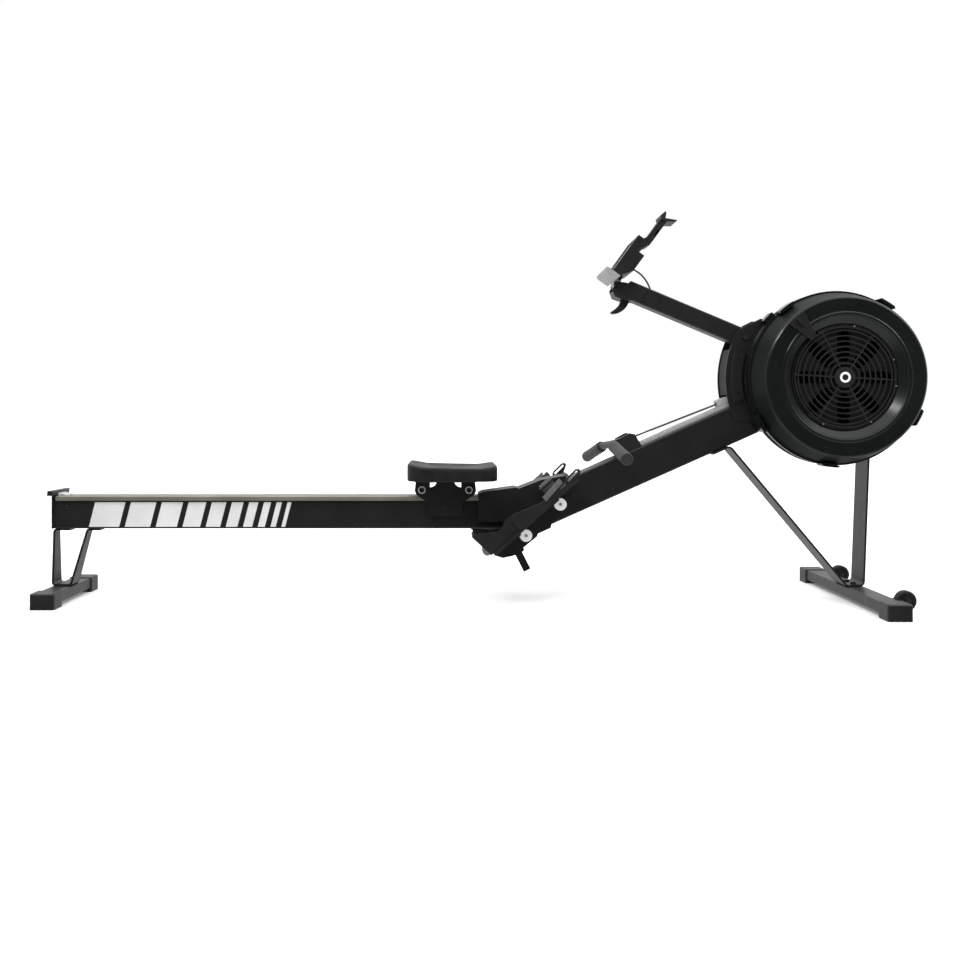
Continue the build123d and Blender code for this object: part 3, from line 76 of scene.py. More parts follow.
# ---------------------------------------------------------------- node and material helpers
class Graph:
    """One material's node graph, with short calls for the nodes used here."""

    def __init__(self, name):
        self.material = bpy.data.materials.new(name)
        self.material.use_nodes = True
        tree = self.material.node_tree
        self.nodes, self.links = tree.nodes, tree.links
        self.shader = self.nodes["Principled BSDF"]

    def add(self, kind, inputs=None, **settings):
        node = self.nodes.new("ShaderNode" + kind)
        for key, value in settings.items():
            setattr(node, key, value)
        for key, value in (inputs or {}).items():
            if isinstance(value, bpy.types.NodeSocket):
                self.links.new(value, node.inputs[key])
            else:
                node.inputs[key].default_value = value
        return node

    def set(self, **values):
        for key, value in values.items():
            socket = self.shader.inputs[key.replace("_", " ")]
            if isinstance(value, bpy.types.NodeSocket):
                self.links.new(value, socket)
            else:
                socket.default_value = value

    def place(self, stretch=(1, 1, 1), turn=(0, 0, 0)):
        """Object coordinates in metres, which for every piece are the row frame's."""
        spot = self.add("TexCoord").outputs["Object"]
        mapped = self.add("Mapping", {"Vector": spot, "Scale": stretch, "Rotation": turn})
        return mapped.outputs[0]

    def noise(self, where, scale, detail=3.0, roughness=0.55):
        node = self.add("TexNoise", {"Vector": where, "Scale": scale, "Detail": detail,
                                     "Roughness": roughness})
        return node.outputs["Fac"]

    def remap(self, value, low, high, to_low, to_high):
        node = self.add("MapRange", {"Value": value, "From Min": low, "From Max": high,
                                     "To Min": to_low, "To Max": to_high})
        return node.outputs[0]

    def math(self, operation, a, b):
        return self.add("Math", {0: a, 1: b}, operation=operation).outputs[0]

    def ramp(self, value, *stops):
        node = self.add("ValToRGB", {"Fac": value})
        ramp = node.color_ramp
        while len(ramp.elements) < len(stops):
            ramp.elements.new(0.5)
        for element, (at, colour) in zip(ramp.elements, stops):
            element.position = at
            element.color = (*colour, 1.0)
        return node.outputs[0]

    def mix(self, share, a, b):
        node = self.add("Mix", {0: share}, data_type="RGBA")
        for socket, value in ((node.inputs[6], a), (node.inputs[7], b)):
            if isinstance(value, bpy.types.NodeSocket):
                self.links.new(value, socket)
            else:
                socket.default_value = (*value, 1.0)
        return node.outputs[2]

    def bump(self, height, strength, distance, under=None):
        inputs = {"Height": height, "Strength": strength, "Distance": distance}
        if under is not None:
            inputs["Normal"] = under
        return self.add("Bump", inputs).outputs[0]

    def round_edge(self, radius):
        return self.add("Bevel", {"Radius": radius}, samples=4).outputs[0]

    def edge_share(self, radius):
        """1 on convex and concave edges, 0 on flat faces."""
        soft = self.round_edge(radius)
        hard = self.add("NewGeometry").outputs["Normal"]
        facing = self.add("VectorMath", {0: soft, 1: hard}, operation="DOT_PRODUCT")
        return self.remap(facing.outputs["Value"], 0.80, 0.985, 1.0, 0.0)


def grey(value):
    return (value, value, value)


def coating(name, dark, light, rough, metallic=0.0, patch=16.0, grain=1500.0, depth=0.00006,
            strength=0.25, stretch=(1, 1, 1), turn=(0, 0, 0), edge=None, radius=0.0009, specular=0.5,
            speck=None, fineness=5.0):
    """Painted, moulded or metal skin: colour drifts over patches, fine grain in bump and gloss."""
    g = Graph(name)
    where, fine = g.place(), g.place(stretch, turn)
    drift = g.noise(where, patch, 4.0)
    colour = g.ramp(drift, (0.34, dark), (0.66, light))
    texture = g.noise(fine, grain, 2.0, 0.6)
    if speck:
        spots = g.remap(g.noise(fine, grain * 0.5, 1.0), 0.62, 0.75, 0.0, 0.6)
        colour = g.mix(spots, colour, speck)
    if edge:
        worn = g.math("MULTIPLY", g.edge_share(0.0012), g.remap(drift, 0.3, 0.7, 0.35, 1.0))
        colour = g.mix(worn, colour, edge)
    haze = g.math("MULTIPLY", g.noise(where, patch * 3.1, fineness, 0.65), 0.5)
    haze = g.math("ADD", haze, g.math("MULTIPLY", texture, 0.5))
    normal = g.bump(texture, strength, depth, g.round_edge(radius))
    g.set(Base_Color=colour, Metallic=metallic, Roughness=g.remap(haze, 0.3, 0.7, *rough),
          Normal=normal, Specular_IOR_Level=specular)
    return g.material


def webbing_material(name, dark, light):
    """Woven polyester: rows of ribs across, thin warp lines along, by the strap's own UV in metres;
    the grooves between them are painted darker as painted shade.
    """
    g = Graph(name)
    uv = g.add("TexCoord").outputs["UV"]
    ribs = g.add("TexWave", {"Vector": uv, "Scale": 95.0, "Distortion": 0.4, "Detail": 1.0},
                 bands_direction="X").outputs["Fac"]
    warp = g.add("TexWave", {"Vector": uv, "Scale": 160.0, "Distortion": 0.3},
                 bands_direction="Y").outputs["Fac"]
    weave = g.math("MULTIPLY", g.remap(ribs, 0, 1, 0.35, 1.0), g.remap(warp, 0, 1, 0.55, 1.0))
    fuzz = g.noise(g.place(), 2600.0, 3.0)
    # the colour follows the weave, darker in the grooves between ribs and warp lines: painted shade in
    # the grooves; the fuzz is real tone variation
    colour = g.ramp(g.math("MULTIPLY", weave, g.remap(fuzz, 0.2, 0.8, 0.8, 1.15)),
                    (0.15, grey(dark)), (0.95, grey(light)))
    g.set(Base_Color=colour, Roughness=g.remap(weave, 0, 1, 0.92, 0.72), Sheen_Weight=0.15,
          Sheen_Roughness=0.5, Specular_IOR_Level=0.3, Normal=g.bump(weave, 0.6, 0.0005))
    return g.material


def foam_material():
    """Self-skinned moulded foam: leather-like pebbles with creases between them, the creases painted
    darker as painted shade.
    """
    g = Graph("seat_foam_skin")
    where = g.place()
    wobble = g.add("TexNoise", {"Vector": where, "Scale": 120.0}).outputs["Color"]
    bent = g.add("VectorMath", {0: wobble, 1: (0.004, 0.004, 0.004)}, operation="MULTIPLY")
    there = g.add("VectorMath", {0: where, 1: bent.outputs[0]}, operation="ADD").outputs[0]
    pebble = g.add("TexVoronoi", {"Vector": there, "Scale": 430.0}, feature="DISTANCE_TO_EDGE")
    skin = g.remap(pebble.outputs["Distance"], 0.0, 0.28, 0.0, 1.0)
    fine = g.noise(where, 1900.0, 2.0)
    height = g.math("ADD", g.math("MULTIPLY", skin, 0.8), g.math("MULTIPLY", fine, 0.25))
    drift = g.noise(where, 22.0, 4.0)
    # the skin term darkens the colour in the creases between the pebbles: painted shade in the creases
    colour = g.ramp(g.math("ADD", g.math("MULTIPLY", drift, 0.75), g.math("MULTIPLY", skin, 0.2)),
                    (0.30, grey(0.0075)), (0.72, grey(0.0135)))
    g.set(Base_Color=colour, Roughness=g.remap(drift, 0.3, 0.7, 0.46, 0.58),
          Specular_IOR_Level=0.22, Normal=g.bump(height, 0.35, 0.00025))
    return g.material


def grip_material():
    """Soft foam grip: open pores, their centres painted darker as painted shade, and a dry, slightly
    uneven surface.
    """
    g = Graph("grip_foam")
    where = g.place()
    pores = g.add("TexVoronoi", {"Vector": where, "Scale": 900.0}, feature="F1").outputs["Distance"]
    drift = g.noise(where, 40.0, 4.0)
    colour = g.ramp(drift, (0.3, grey(0.017)), (0.7, grey(0.027)))
    # the pore centres are mixed towards grey 0.008: painted shade in the pores
    colour = g.mix(g.remap(pores, 0.0, 0.22, 0.5, 0.0), colour, grey(0.008))
    g.set(Base_Color=colour, Roughness=g.remap(drift, 0.3, 0.7, 0.62, 0.78), Sheen_Weight=0.06,
          Sheen_Roughness=0.6, Specular_IOR_Level=0.4, Normal=g.bump(pores, 0.35, 0.0003))
    return g.material


def display_material():
    """Liquid crystal behind a clear window: grey-green, a little uneven, very smooth."""
    g = Graph("display_glass")
    where = g.place()
    glow = g.noise(where, 30.0, 2.0)
    cells = g.noise(where, 2400.0, 1.0)
    colour = g.ramp(glow, (0.3, (0.165, 0.185, 0.150)), (0.7, (0.215, 0.235, 0.190)))
    g.set(Base_Color=colour, Roughness=g.remap(cells, 0.3, 0.7, 0.16, 0.24),
          Specular_IOR_Level=0.22, Normal=g.bump(cells, 0.03, 0.00002))
    return g.material


def extrusion_material():
    """Anodised aluminium: fine draw lines along the beam and a soft satin gloss."""
    slope = math.radians(24.0)
    return coating("alloy_drawn", grey(0.62), grey(0.74), (0.28, 0.44), metallic=0.45, patch=9.0,
                   grain=700.0, depth=0.00004, strength=0.35, stretch=(0.02, 1, 1),
                   turn=(0, slope, 0))


def make_materials():
    paint_dark, paint_light = (0.0062, 0.0064, 0.0066), (0.0092, 0.0095, 0.0098)
    return {
        "frame_black": coating("powder_coat", paint_dark, paint_light, (0.36, 0.52), patch=11.0,
                               grain=1300.0, strength=0.30, edge=grey(0.035), speck=grey(0.016)),
        "housing_gloss": coating("gloss_moulding", (0.0055, 0.0068, 0.0068), (0.0085, 0.0102, 0.0100),
                                 (0.17, 0.22), patch=3.0, grain=14.0, strength=0.05, depth=0.0004,
                                 edge=grey(0.02), specular=0.32, fineness=1.0),
        "plastic_black": coating("fine_textured_plastic", grey(0.0075), grey(0.0120), (0.40, 0.56),
                                 patch=20.0, grain=2100.0, strength=0.40, edge=grey(0.03)),
        "plastic_grey": coating("satin_grey_plastic", grey(0.30), grey(0.40), (0.38, 0.5),
                                patch=24.0, grain=1800.0, strength=0.30, edge=grey(0.55)),
        "alloy": extrusion_material(),
        "track_metal": coating("brushed_track", (0.20, 0.185, 0.150), (0.28, 0.262, 0.220),
                               (0.26, 0.42), metallic=0.5, patch=7.0, grain=900.0,
                               strength=0.40, stretch=(0.015, 1, 1)),
        "steel": coating("machined_steel", grey(0.30), grey(0.46), (0.22, 0.40), metallic=1.0,
                         patch=60.0, grain=1600.0, strength=0.25, edge=grey(0.6)),
        "chain_steel": coating("oiled_chain", grey(0.16), grey(0.34), (0.20, 0.44), metallic=1.0,
                               patch=240.0, grain=2400.0, strength=0.20),
        "roller_plastic": coating("nylon", grey(0.014), grey(0.026), (0.34, 0.5), patch=45.0,
                                  grain=1800.0, strength=0.25, edge=grey(0.05)),
        "rubber": coating("moulded_rubber", grey(0.0085), grey(0.0150), (0.58, 0.78), patch=36.0,
                          grain=1500.0, strength=0.45, edge=grey(0.03), specular=0.4),
        "grip_rubber": grip_material(),
        "seat_foam": foam_material(),
        "webbing": webbing_material("webbing_weave", 0.006, 0.030),
        "knob_white": coating("white_nylon", (0.80, 0.80, 0.785), (0.90, 0.90, 0.885), (0.36, 0.5),
                              patch=70.0, grain=1700.0, strength=0.25, edge=grey(0.86)),
        "screen": display_material(),
    }


materials = make_materials()
dull_moulding = coating("dull_moulding", grey(0.0060), grey(0.0095), (0.55, 0.70), patch=14.0,
                        grain=1700.0, strength=0.35, edge=grey(0.020), specular=0.3)
dark_cast = coating("dark_cast", grey(0.0060), grey(0.0110), (0.50, 0.65), patch=30.0,
                    grain=900.0, strength=0.40, specular=0.25)
black_oxide = coating("black_oxide", grey(0.010), grey(0.022), (0.30, 0.45), patch=90.0,
                      grain=1500.0, strength=0.25, edge=grey(0.05))


def case_material():
    """Black monitor case with a pale moulding along its lower edge."""
    g = Graph("monitor_moulding")
    where = g.place()
    along = (math.cos(MONITOR_ANGLE), 0.0, math.sin(MONITOR_ANGLE))
    height = g.add("VectorMath", {0: where, 1: along}, operation="DOT_PRODUCT").outputs["Value"]
    joint = MONITOR.dot(Vector(along)) - 0.0005
    lower = g.math("LESS_THAN", height, joint)
    drift = g.noise(where, 24.0, 4.0)
    black = g.ramp(drift, (0.3, grey(0.0075)), (0.7, grey(0.0120)))
    pale = g.ramp(drift, (0.3, grey(0.23)), (0.7, grey(0.30)))
    grain = g.noise(where, 2100.0, 2.0, 0.6)
    g.set(Base_Color=g.mix(lower, black, pale), Roughness=g.remap(grain, 0.3, 0.7, 0.38, 0.52),
          Specular_IOR_Level=0.35, Normal=g.bump(grain, 0.35, 0.00006, g.round_edge(0.0009)))
    return g.material


def shell_material():
    """Fan shell: polished on its face, matt on the side wall."""
    g = Graph("fan_shell")
    where = g.place()
    drift = g.noise(where, 3.0, 3.0)
    colour = g.ramp(drift, (0.34, (0.0055, 0.0068, 0.0068)), (0.66, (0.0085, 0.0102, 0.0100)))
    facing = g.add("SeparateXYZ", {0: g.add("NewGeometry").outputs["Normal"]}).outputs["Y"]
    polish = g.remap(g.math("MULTIPLY", facing, -1.0), 0.30, 0.75, 0.0, 1.0)
    rough = g.math("SUBTRACT", 0.55, g.math("MULTIPLY", polish, 0.36))
    rough = g.math("ADD", rough, g.math("MULTIPLY", g.noise(where, 9.0, 2.0), 0.04))
    g.set(Base_Color=colour, Roughness=rough, Normal=g.round_edge(0.0009),
          Specular_IOR_Level=g.math("ADD", 0.10, g.math("MULTIPLY", polish, 0.26)))
    return g.material


OWN_SKINS = {
    "monitor_case": case_material(), "fan_cover": shell_material(), "flywheel": dark_cast,
    "housing_covers": dull_moulding, "damper": dull_moulding,
    "frame_bolts": black_oxide, "rail_bolts": black_oxide, "roller_axles": black_oxide,
}
for row in frame["record"]["subparts"]:
    node = frame["nodes"][row["node"]]
    node.data.materials.clear()
    node.data.materials.append(OWN_SKINS.get(row["node"], materials[row["material_slot"]]))


# ---------------------------------------------------------------- mesh helpers
def finish_piece(name, mesh, body, slot, material=None, sharp=35.0):
    """Turns a bmesh into a piece that rides on a body, smooth apart from its sharp edges."""
    bmesh.ops.recalc_face_normals(mesh, faces=mesh.faces)
    for face in mesh.faces:
        face.smooth = True
    for edge in mesh.edges:
        if len(edge.link_faces) == 2:
            edge.smooth = edge.calc_face_angle(0.0) < math.radians(sharp)
    data = bpy.data.meshes.new(name)
    mesh.to_mesh(data)
    mesh.free()
    piece = bpy.data.objects.new(name, data)
    bpy.context.scene.collection.objects.link(piece)
    data.materials.append(material or materials[slot])
    if body:
        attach(piece, body)
    return piece


def frame_at(origin, along, up):
    """A local frame: x along, z up as near as it can be, y to complete it."""
    x = Vector(along).normalized()
    y = Vector(up).cross(x).normalized()
    z = x.cross(y)
    turn = Matrix((x, y, z)).transposed().to_4x4()
    return Matrix.Translation(origin) @ turn


def add_slab(mesh, outline, thickness, where, chamfer=0.0):
    """A flat plate with that outline in local x and y, rising along local z, its rims chamfered."""
    centre = sum((Vector(p) for p in outline), Vector((0, 0))) / len(outline)
    levels = [(0.0, chamfer), (chamfer, 0.0), (thickness - chamfer, 0.0), (thickness, chamfer)]
    if not chamfer:
        levels = [(0.0, 0.0), (thickness, 0.0)]
    rings = []
    for height, inset in levels:
        ring = []
        for point in outline:
            away = Vector(point) - centre
            scale = 1 - inset / max(away.length, 1e-6)
            spot = centre + away * scale
            ring.append(mesh.verts.new(where @ Vector((spot.x, spot.y, height))))
        rings.append(ring)
    close_loops(mesh, rings)
    mesh.faces.new(list(reversed(rings[0])))
    mesh.faces.new(rings[-1])


def add_lathe(mesh, profile, start, axis, segments=48):
    """A closed turned shape: profile lists (along, radius) pairs, and starts and ends on the axis."""
    where = frame_at(start, axis, (0.3, 0.5, 0.9))
    rings = []
    for along, radius in profile:
        if radius < 1e-7:
            rings.append([mesh.verts.new(where @ Vector((along, 0, 0)))])
            continue
        ring = []
        for k in range(segments):
            turn = 2 * math.pi * k / segments
            ring.append(mesh.verts.new(
                where @ Vector((along, radius * math.cos(turn), radius * math.sin(turn)))))
        rings.append(ring)
    for a, b in zip(rings, rings[1:]):
        for k in range(segments):
            n = (k + 1) % segments
            corners = [a[k % len(a)], a[n % len(a)], b[n % len(b)], b[k % len(b)]]
            unique = list(dict.fromkeys(corners))
            if len(unique) > 2:
                mesh.faces.new(unique)


def close_loops(mesh, rings):
    """Joins each ring of vertices to the next one with quads, round the whole ring."""
    for a, b in zip(rings, rings[1:]):
        for k in range(len(a)):
            n = (k + 1) % len(a)
            mesh.faces.new((a[k], a[n], b[n], b[k]))


def add_ring(mesh, centre, out, profile, segments):
    """An annulus about the Y axis: profile lists (height, radius) pairs, rising towards out."""
    rings = []
    for height, radius in profile:
        ring = []
        for k in range(segments):
            turn = 2 * math.pi * k / segments
            offset = Vector((radius * math.cos(turn), out * height, radius * math.sin(turn)))
            ring.append(mesh.verts.new(centre + offset))
        rings.append(ring)
    close_loops(mesh, rings + rings[:1])


def add_tube(mesh, points, radius, segments):
    """A round tube with closed ends along a list of points."""
    rings = []
    for k, point in enumerate(points):
        before, after = points[max(k - 1, 0)], points[min(k + 1, len(points) - 1)]
        where = frame_at(point, after - before, (0, 1, 0))
        rings.append([
            mesh.verts.new(where @ Vector((0, radius * math.cos(a), radius * math.sin(a))))
            for a in (2 * math.pi * s / segments for s in range(segments))
        ])
    close_loops(mesh, rings)
    mesh.faces.new(list(reversed(rings[0])))
    mesh.faces.new(rings[-1])


def add_ribbon(mesh, path, across, width, thickness, start_u=0.0):
    """A strap: path lists its centre line, across is its width's direction; UV is in metres."""
    uv = mesh.loops.layers.uv.verify()
    edge = thickness * 0.45
    across = Vector(across).normalized()
    section = ((-width / 2, -thickness / 2 + edge), (-width / 2 + edge, -thickness / 2),
               (0.0, -thickness / 2 - edge * 0.1), (width / 2 - edge, -thickness / 2),
               (width / 2, -thickness / 2 + edge), (width / 2, thickness / 2 - edge),
               (width / 2 - edge, thickness / 2), (0.0, thickness / 2 + edge * 0.1),
               (-width / 2 + edge, thickness / 2), (-width / 2, thickness / 2 - edge))
    rings, lengths, run = [], [], start_u
    for k, point in enumerate(path):
        before, after = path[max(k - 1, 0)], path[min(k + 1, len(path) - 1)]
        along = (after - before).normalized()
        normal = along.cross(across).normalized()
        if k:
            run += (point - path[k - 1]).length
        rings.append([mesh.verts.new(point + across * a + normal * b) for a, b in section])
        lengths.append(run)
    count = len(section)
    for k in range(len(rings) - 1):
        for s in range(count):
            n = (s + 1) % count
            face = mesh.faces.new((rings[k][s], rings[k][n], rings[k + 1][n], rings[k + 1][s]))
            spots = ((lengths[k], section[s][0]), (lengths[k], section[n][0]),
                     (lengths[k + 1], section[n][0]), (lengths[k + 1], section[s][0]))
            for loop, spot in zip(face.loops, spots):
                loop[uv].uv = spot
    mesh.faces.new(list(reversed(rings[0])))
    mesh.faces.new(rings[-1])


def round_outline(width, depth, radius, steps=6):
    """A rectangle with round corners, centred, as points."""
    points = []
    for cx, cy, first in ((1, 1, 0), (-1, 1, 90), (-1, -1, 180), (1, -1, 270)):
        for k in range(steps + 1):
            turn = math.radians(first + 90 * k / steps)
            points.append((cx * (width / 2 - radius) + radius * math.cos(turn),
                           cy * (depth / 2 - radius) + radius * math.sin(turn)))
    return points


def board_point(along, y, up):
    """A point in the footboards' frame: along the sole from the heel, and up from it."""
    c, s = math.cos(BOARD_ANGLE), math.sin(BOARD_ANGLE)
    return HEEL + Vector((along * c - up * s, y, along * s + up * c))


def monitor_point(along, y, out):
    """A point in the monitor's frame: along its face from its lower edge, and out of the face."""
    c, s = math.cos(MONITOR_ANGLE), math.sin(MONITOR_ANGLE)
    return MONITOR + Vector((along * c - out * s, y, along * s + out * c))


# ---------------------------------------------------------------- seat
def make_seat_pad():
    """Moulded foam saddle: raised rim, two hollows, a centre channel and a notch at the back."""
    low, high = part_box("seat_pad")
    centre = (low + high) / 2
    half_x, half_y = (high.x - low.x) / 2, (high.y - low.y) / 2
    corner, notch, notch_wide = 0.046, 0.012, 0.030
    base = round_outline(2 * half_x, 2 * half_y, corner, 12)

    def outline(scale):
        """The pad's outline drawn in by a factor, with the notch pressed into its rear edge."""
        ring = []
        for x, y in base:
            back = max(0.0, -x / half_x)
            pressed = notch * back ** 6 * math.exp(-(y / notch_wide) ** 2)
            ring.append(Vector((x * scale + pressed, y * scale)))
        return ring

    def top(x, y):
        """Height of the padding: a saddle higher at the back, two hollows and a centre channel."""
        share = x / half_x
        dip, back_rise, crown_high, hollow_deep, channel_deep = 0.0180, 0.0030, 0.0060, 0.0060, 0.0050
        saddle = high.z - dip * (1 - share ** 2) - back_rise * share - back_rise
        crown = crown_high * math.exp(-((x - 0.004) / 0.075) ** 2 - (y / 0.075) ** 2)
        hollows = sum(
            hollow_deep * math.exp(-((x + 0.020) / 0.050) ** 2 - ((y - side * 0.062) / 0.036) ** 2)
            for side in SIDES.values())
        channel = channel_deep * math.exp(-(y / 0.012) ** 2) / (1 + math.exp((x - 0.02) / 0.02))
        return saddle + crown - hollows - channel

    # the side wall: height over the base, and the outline's scale
    wall = ((0.0, 0.930), (0.0, 0.985), (0.0020, 0.996), (0.008, 1.0), (0.020, 1.0), (0.028, 1.0))
    # wall to rim to hollow: the outline's scale, and how far below the saddle's height
    rim_to_hollow = ((1.0, 0.0120), (0.996, 0.0060), (0.985, 0.0024), (0.965, 0.0006), (0.94, 0.0),
                     (0.91, 0.0006), (0.87, 0.0020), (0.81, 0.0034), (0.72, 0.0040),
                     (0.60, 0.0040), (0.46, 0.0038), (0.32, 0.0036), (0.18, 0.0036))
    # outside this scale the rim follows the padding just inside it
    rim_scale = 0.93
    mesh = bmesh.new()
    rings = []
    for rise, scale in wall:
        ring = [centre.xy + p for p in outline(scale)]
        rings.append([mesh.verts.new((p.x, p.y, low.z + rise)) for p in ring])
    for scale, drop in rim_to_hollow:
        inward = rim_scale if scale >= rim_scale else 1
        rings.append([
            mesh.verts.new((centre.x + p.x, centre.y + p.y, top(p.x * inward, p.y * inward) - drop))
            for p in outline(scale)
        ])
    close_loops(mesh, rings)
    mesh.faces.new(list(reversed(rings[0])))
    middle = mesh.verts.new((centre.x, centre.y, top(0, 0) - rim_to_hollow[-1][1]))
    for k in range(len(rings[-1])):
        mesh.faces.new((rings[-1][k], rings[-1][(k + 1) % len(rings[-1])], middle))
    pad = finish_piece("seat_cushion", mesh, "seat", "seat_foam", sharp=60.0)
    smooth = pad.modifiers.new("smooth", "SUBSURF")
    smooth.levels = smooth.render_levels = 1
    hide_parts("seat_pad")


# ---------------------------------------------------------------- handle and chain
def make_grips():
    """Foam sleeves with a shallow waist, a rolled outer bead and a recessed end cap."""
    collar = 0.008
    sleeves = bmesh.new()
    for root, end in GRIPS:
        axis = (end - root).normalized()
        length = (end - root).length - collar
        profile = [(0.0, 0.0), (0.0, 0.0125), (0.0015, 0.0150), (0.006, 0.0162)]
        for k in range(1, 15):
            share = k / 15
            waist = 0.0006 * math.sin(math.pi * share) ** 2
            profile.append((length * share, 0.0165 - waist))
        profile += [(length - 0.004, 0.0166), (length, 0.0170), (length + 0.0022, 0.0165),
                    (length + 0.0036, 0.0150), (length + 0.0038, 0.0132), (length + 0.0026, 0.0124),
                    (length + 0.0025, 0.0040), (length + 0.0032, 0.0030), (length + 0.0032, 0.0)]
        add_lathe(sleeves, profile, root + axis * collar, axis, 56)
    grips = finish_piece("grip_sleeves", sleeves, "handle", "grip_rubber")
    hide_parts("handle_grips")


def link_outline(pitch, height):
    """A chain plate: two round ends joined by a narrower waist."""
    points = []
    radius = height / 2
    for centre, first in ((pitch / 2, -75), (-pitch / 2, 105)):
        for k in range(7):
            turn = math.radians(first + 150 * k / 6)
            points.append((centre + radius * math.cos(turn), radius * math.sin(turn)))
        points.append((0.0, math.copysign(radius * 0.72, centre)))
    return points


def make_chain():
    """Roller chain from the handle to the outlet, built as a fixed straight run; on the machine it
    runs out as the handle is pulled.
    """
    line = CHAIN_END - CHAIN_START
    axis = line.normalized()
    count = int(line.length / CHAIN_PITCH)
    pitch = line.length / count
    plate, pin = 0.0009, 0.0068
    roller = ((0.0, 0.0), (0.0, 0.0010), (0.0018, 0.0010), (0.0018, 0.0017), (0.0050, 0.0017),
              (0.0050, 0.0010), (pin, 0.0010), (pin, 0.0))
    mesh = bmesh.new()
    for k in range(count):
        middle = CHAIN_START + line * ((k + 0.5) / count)
        outer = k % 2 == 0
        # local z is sideways, so that the plates stand upright on both sides of the rollers
        for side in (-1, 1):
            offset = side * (0.0029 if outer else 0.0019) - plate / 2
            where = frame_at(middle, axis, (0, 1, 0)) @ Matrix.Translation((0, 0, offset))
            add_slab(mesh, link_outline(pitch, 0.0058), plate, where, 0.00015)
    for k in range(1, count):
        spot = CHAIN_START + line * (k / count) - Vector((0, pin / 2, 0))
        add_lathe(mesh, roller, spot, (0, 1, 0), 10)
    chain = finish_piece("roller_chain", mesh, None, "chain_steel", sharp=30.0)
    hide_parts("chain")
    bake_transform(chain)


# ---------------------------------------------------------------- cable
def make_cable():
    """Sensor cable: a fixed 79 mm between the monitor's back and the arm."""
    curve = bpy.data.curves.new("cable_route", "CURVE")
    curve.dimensions = "3D"
    curve.resolution_u = 12
    spline = curve.splines.new("NURBS")
    spline.points.add(len(CABLE) - 1)
    for point, spot in zip(spline.points, CABLE):
        point.co = (*spot, 1.0)
    spline.order_u = 3
    spline.use_endpoint_u = True
    route = bpy.data.objects.new("cable_route", curve)
    line = bpy.data.meshes.new_from_object(route)
    points = [v.co.copy() for v in line.vertices]
    bpy.data.objects.remove(route)
    bpy.data.curves.remove(curve)
    mesh = bmesh.new()
    add_tube(mesh, points, CABLE_R, 14)
    cable = finish_piece("sensor_lead", mesh, None, "rubber", sharp=60.0)
    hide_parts("sensor_cable")
    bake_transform(cable)


# ---------------------------------------------------------------- foot straps
STRAP_AT, STRAP_WIDE, STRAP_THICK = 0.232, 0.038, 0.0022
FOOT_Y, STRAP_CROWN = 0.1035, 0.0428


def strap_path(middle, lift=0.0, first=-1.0, last=1.0, steps=30):
    """Centre line of a strap over the foot: up through one slot, over, and down the other."""
    half, shoulder = 0.046, 0.024
    through_slot = (-0.0075, 0.0, 0.012)
    points = []
    if first <= -1.0:
        points += [board_point(STRAP_AT, middle - half, z) for z in through_slot]
    for k in range(steps + 1):
        share = first + (last - first) * k / steps
        angle = math.pi / 2 * share
        y = half * math.sin(angle)
        z = shoulder + (STRAP_CROWN - shoulder) * math.cos(angle) ** 0.85 + lift
        points.append(board_point(STRAP_AT, middle + y * (1 + lift / half), z))
    if last >= 1.0:
        points += [board_point(STRAP_AT, middle + half, z) for z in reversed(through_slot)]
    return points


def make_foot_straps():
    """Webbing over each foot, with its lapped tail, a tail end along the rim and a ladder buckle."""
    along = board_point(1, 0, 0) - board_point(0, 0, 0)
    rise = board_point(0, 0, 1) - board_point(0, 0, 0)
    webs, tails, buckles = bmesh.new(), bmesh.new(), bmesh.new()
    for side in SIDES.values():
        middle = side * FOOT_Y
        add_ribbon(webs, strap_path(middle), along, STRAP_WIDE, STRAP_THICK)
        lap = strap_path(middle, 0.0026, -0.60, 0.60, 18)
        add_ribbon(webs, lap, along, STRAP_WIDE * 0.96, STRAP_THICK * 0.8)
        # the tail lies along the outer rim, short of the toe loop
        rim_y = side * 0.1616
        tail = [board_point(a, rim_y, up)
                for a, up in ((0.268, 0.0250), (0.252, 0.0236), (0.236, 0.0218), (0.220, 0.0200),
                              (0.200, 0.0176))]
        add_ribbon(tails, tail, rise, 0.016, 0.0016)
        # buckle: two long bars and three cross bars round both layers
        centre, high = middle + side * 0.027, STRAP_CROWN - 0.0010
        rungs, bar_r = (-0.010, 0.0, 0.010), 0.0019
        for a in (-0.0215, 0.0215):
            add_tube(buckles, [board_point(STRAP_AT + a, centre + d, high) for d in rungs], bar_r, 12)
        for d in rungs:
            add_tube(buckles, [board_point(STRAP_AT + a, centre + d, high)
                               for a in (-0.0225, -0.010, 0.010, 0.0225)], bar_r, 12)
    straps = finish_piece("strap_webbing", webs, "front_frame", "webbing", sharp=70.0)
    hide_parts("foot_straps")
    # the tail is the strap's own webbing given a lighter copy of its weave: painted light on the tail
    finish_piece("strap_tails", tails, "front_frame", "webbing",
                 webbing_material("tail_weave_painted_lighter", 0.040, 0.15), sharp=70.0)
    finish_piece("strap_buckles", buckles, "front_frame", "plastic_black")


def make_heel_bumpers():
    """Rounded grey pad on the back wall of each heel cup."""
    grey_skin = coating("grey_bumper", grey(0.16), grey(0.23), (0.45, 0.6), patch=30.0,
                        strength=0.35, edge=grey(0.3))
    outline = ((-0.0085, 0.0010), (-0.0150, 0.0018), (-0.0205, 0.006), (-0.0230, 0.014),
               (-0.0215, 0.021), (-0.0160, 0.027), (-0.0085, 0.029))
    across = 0.058
    for label, side in SIDES.items():
        mesh = bmesh.new()
        origin = board_point(0, side * FOOT_Y - across / 2, 0)
        where = frame_at(origin, board_point(1, 0, 0) - HEEL, (0, 1, 0))
        add_slab(mesh, [(a, -up) for a, up in outline], across, where, 0.002)
        finish_piece("heel_bumper_" + label, mesh, "heel_cup_" + label, "plastic_grey", grey_skin)


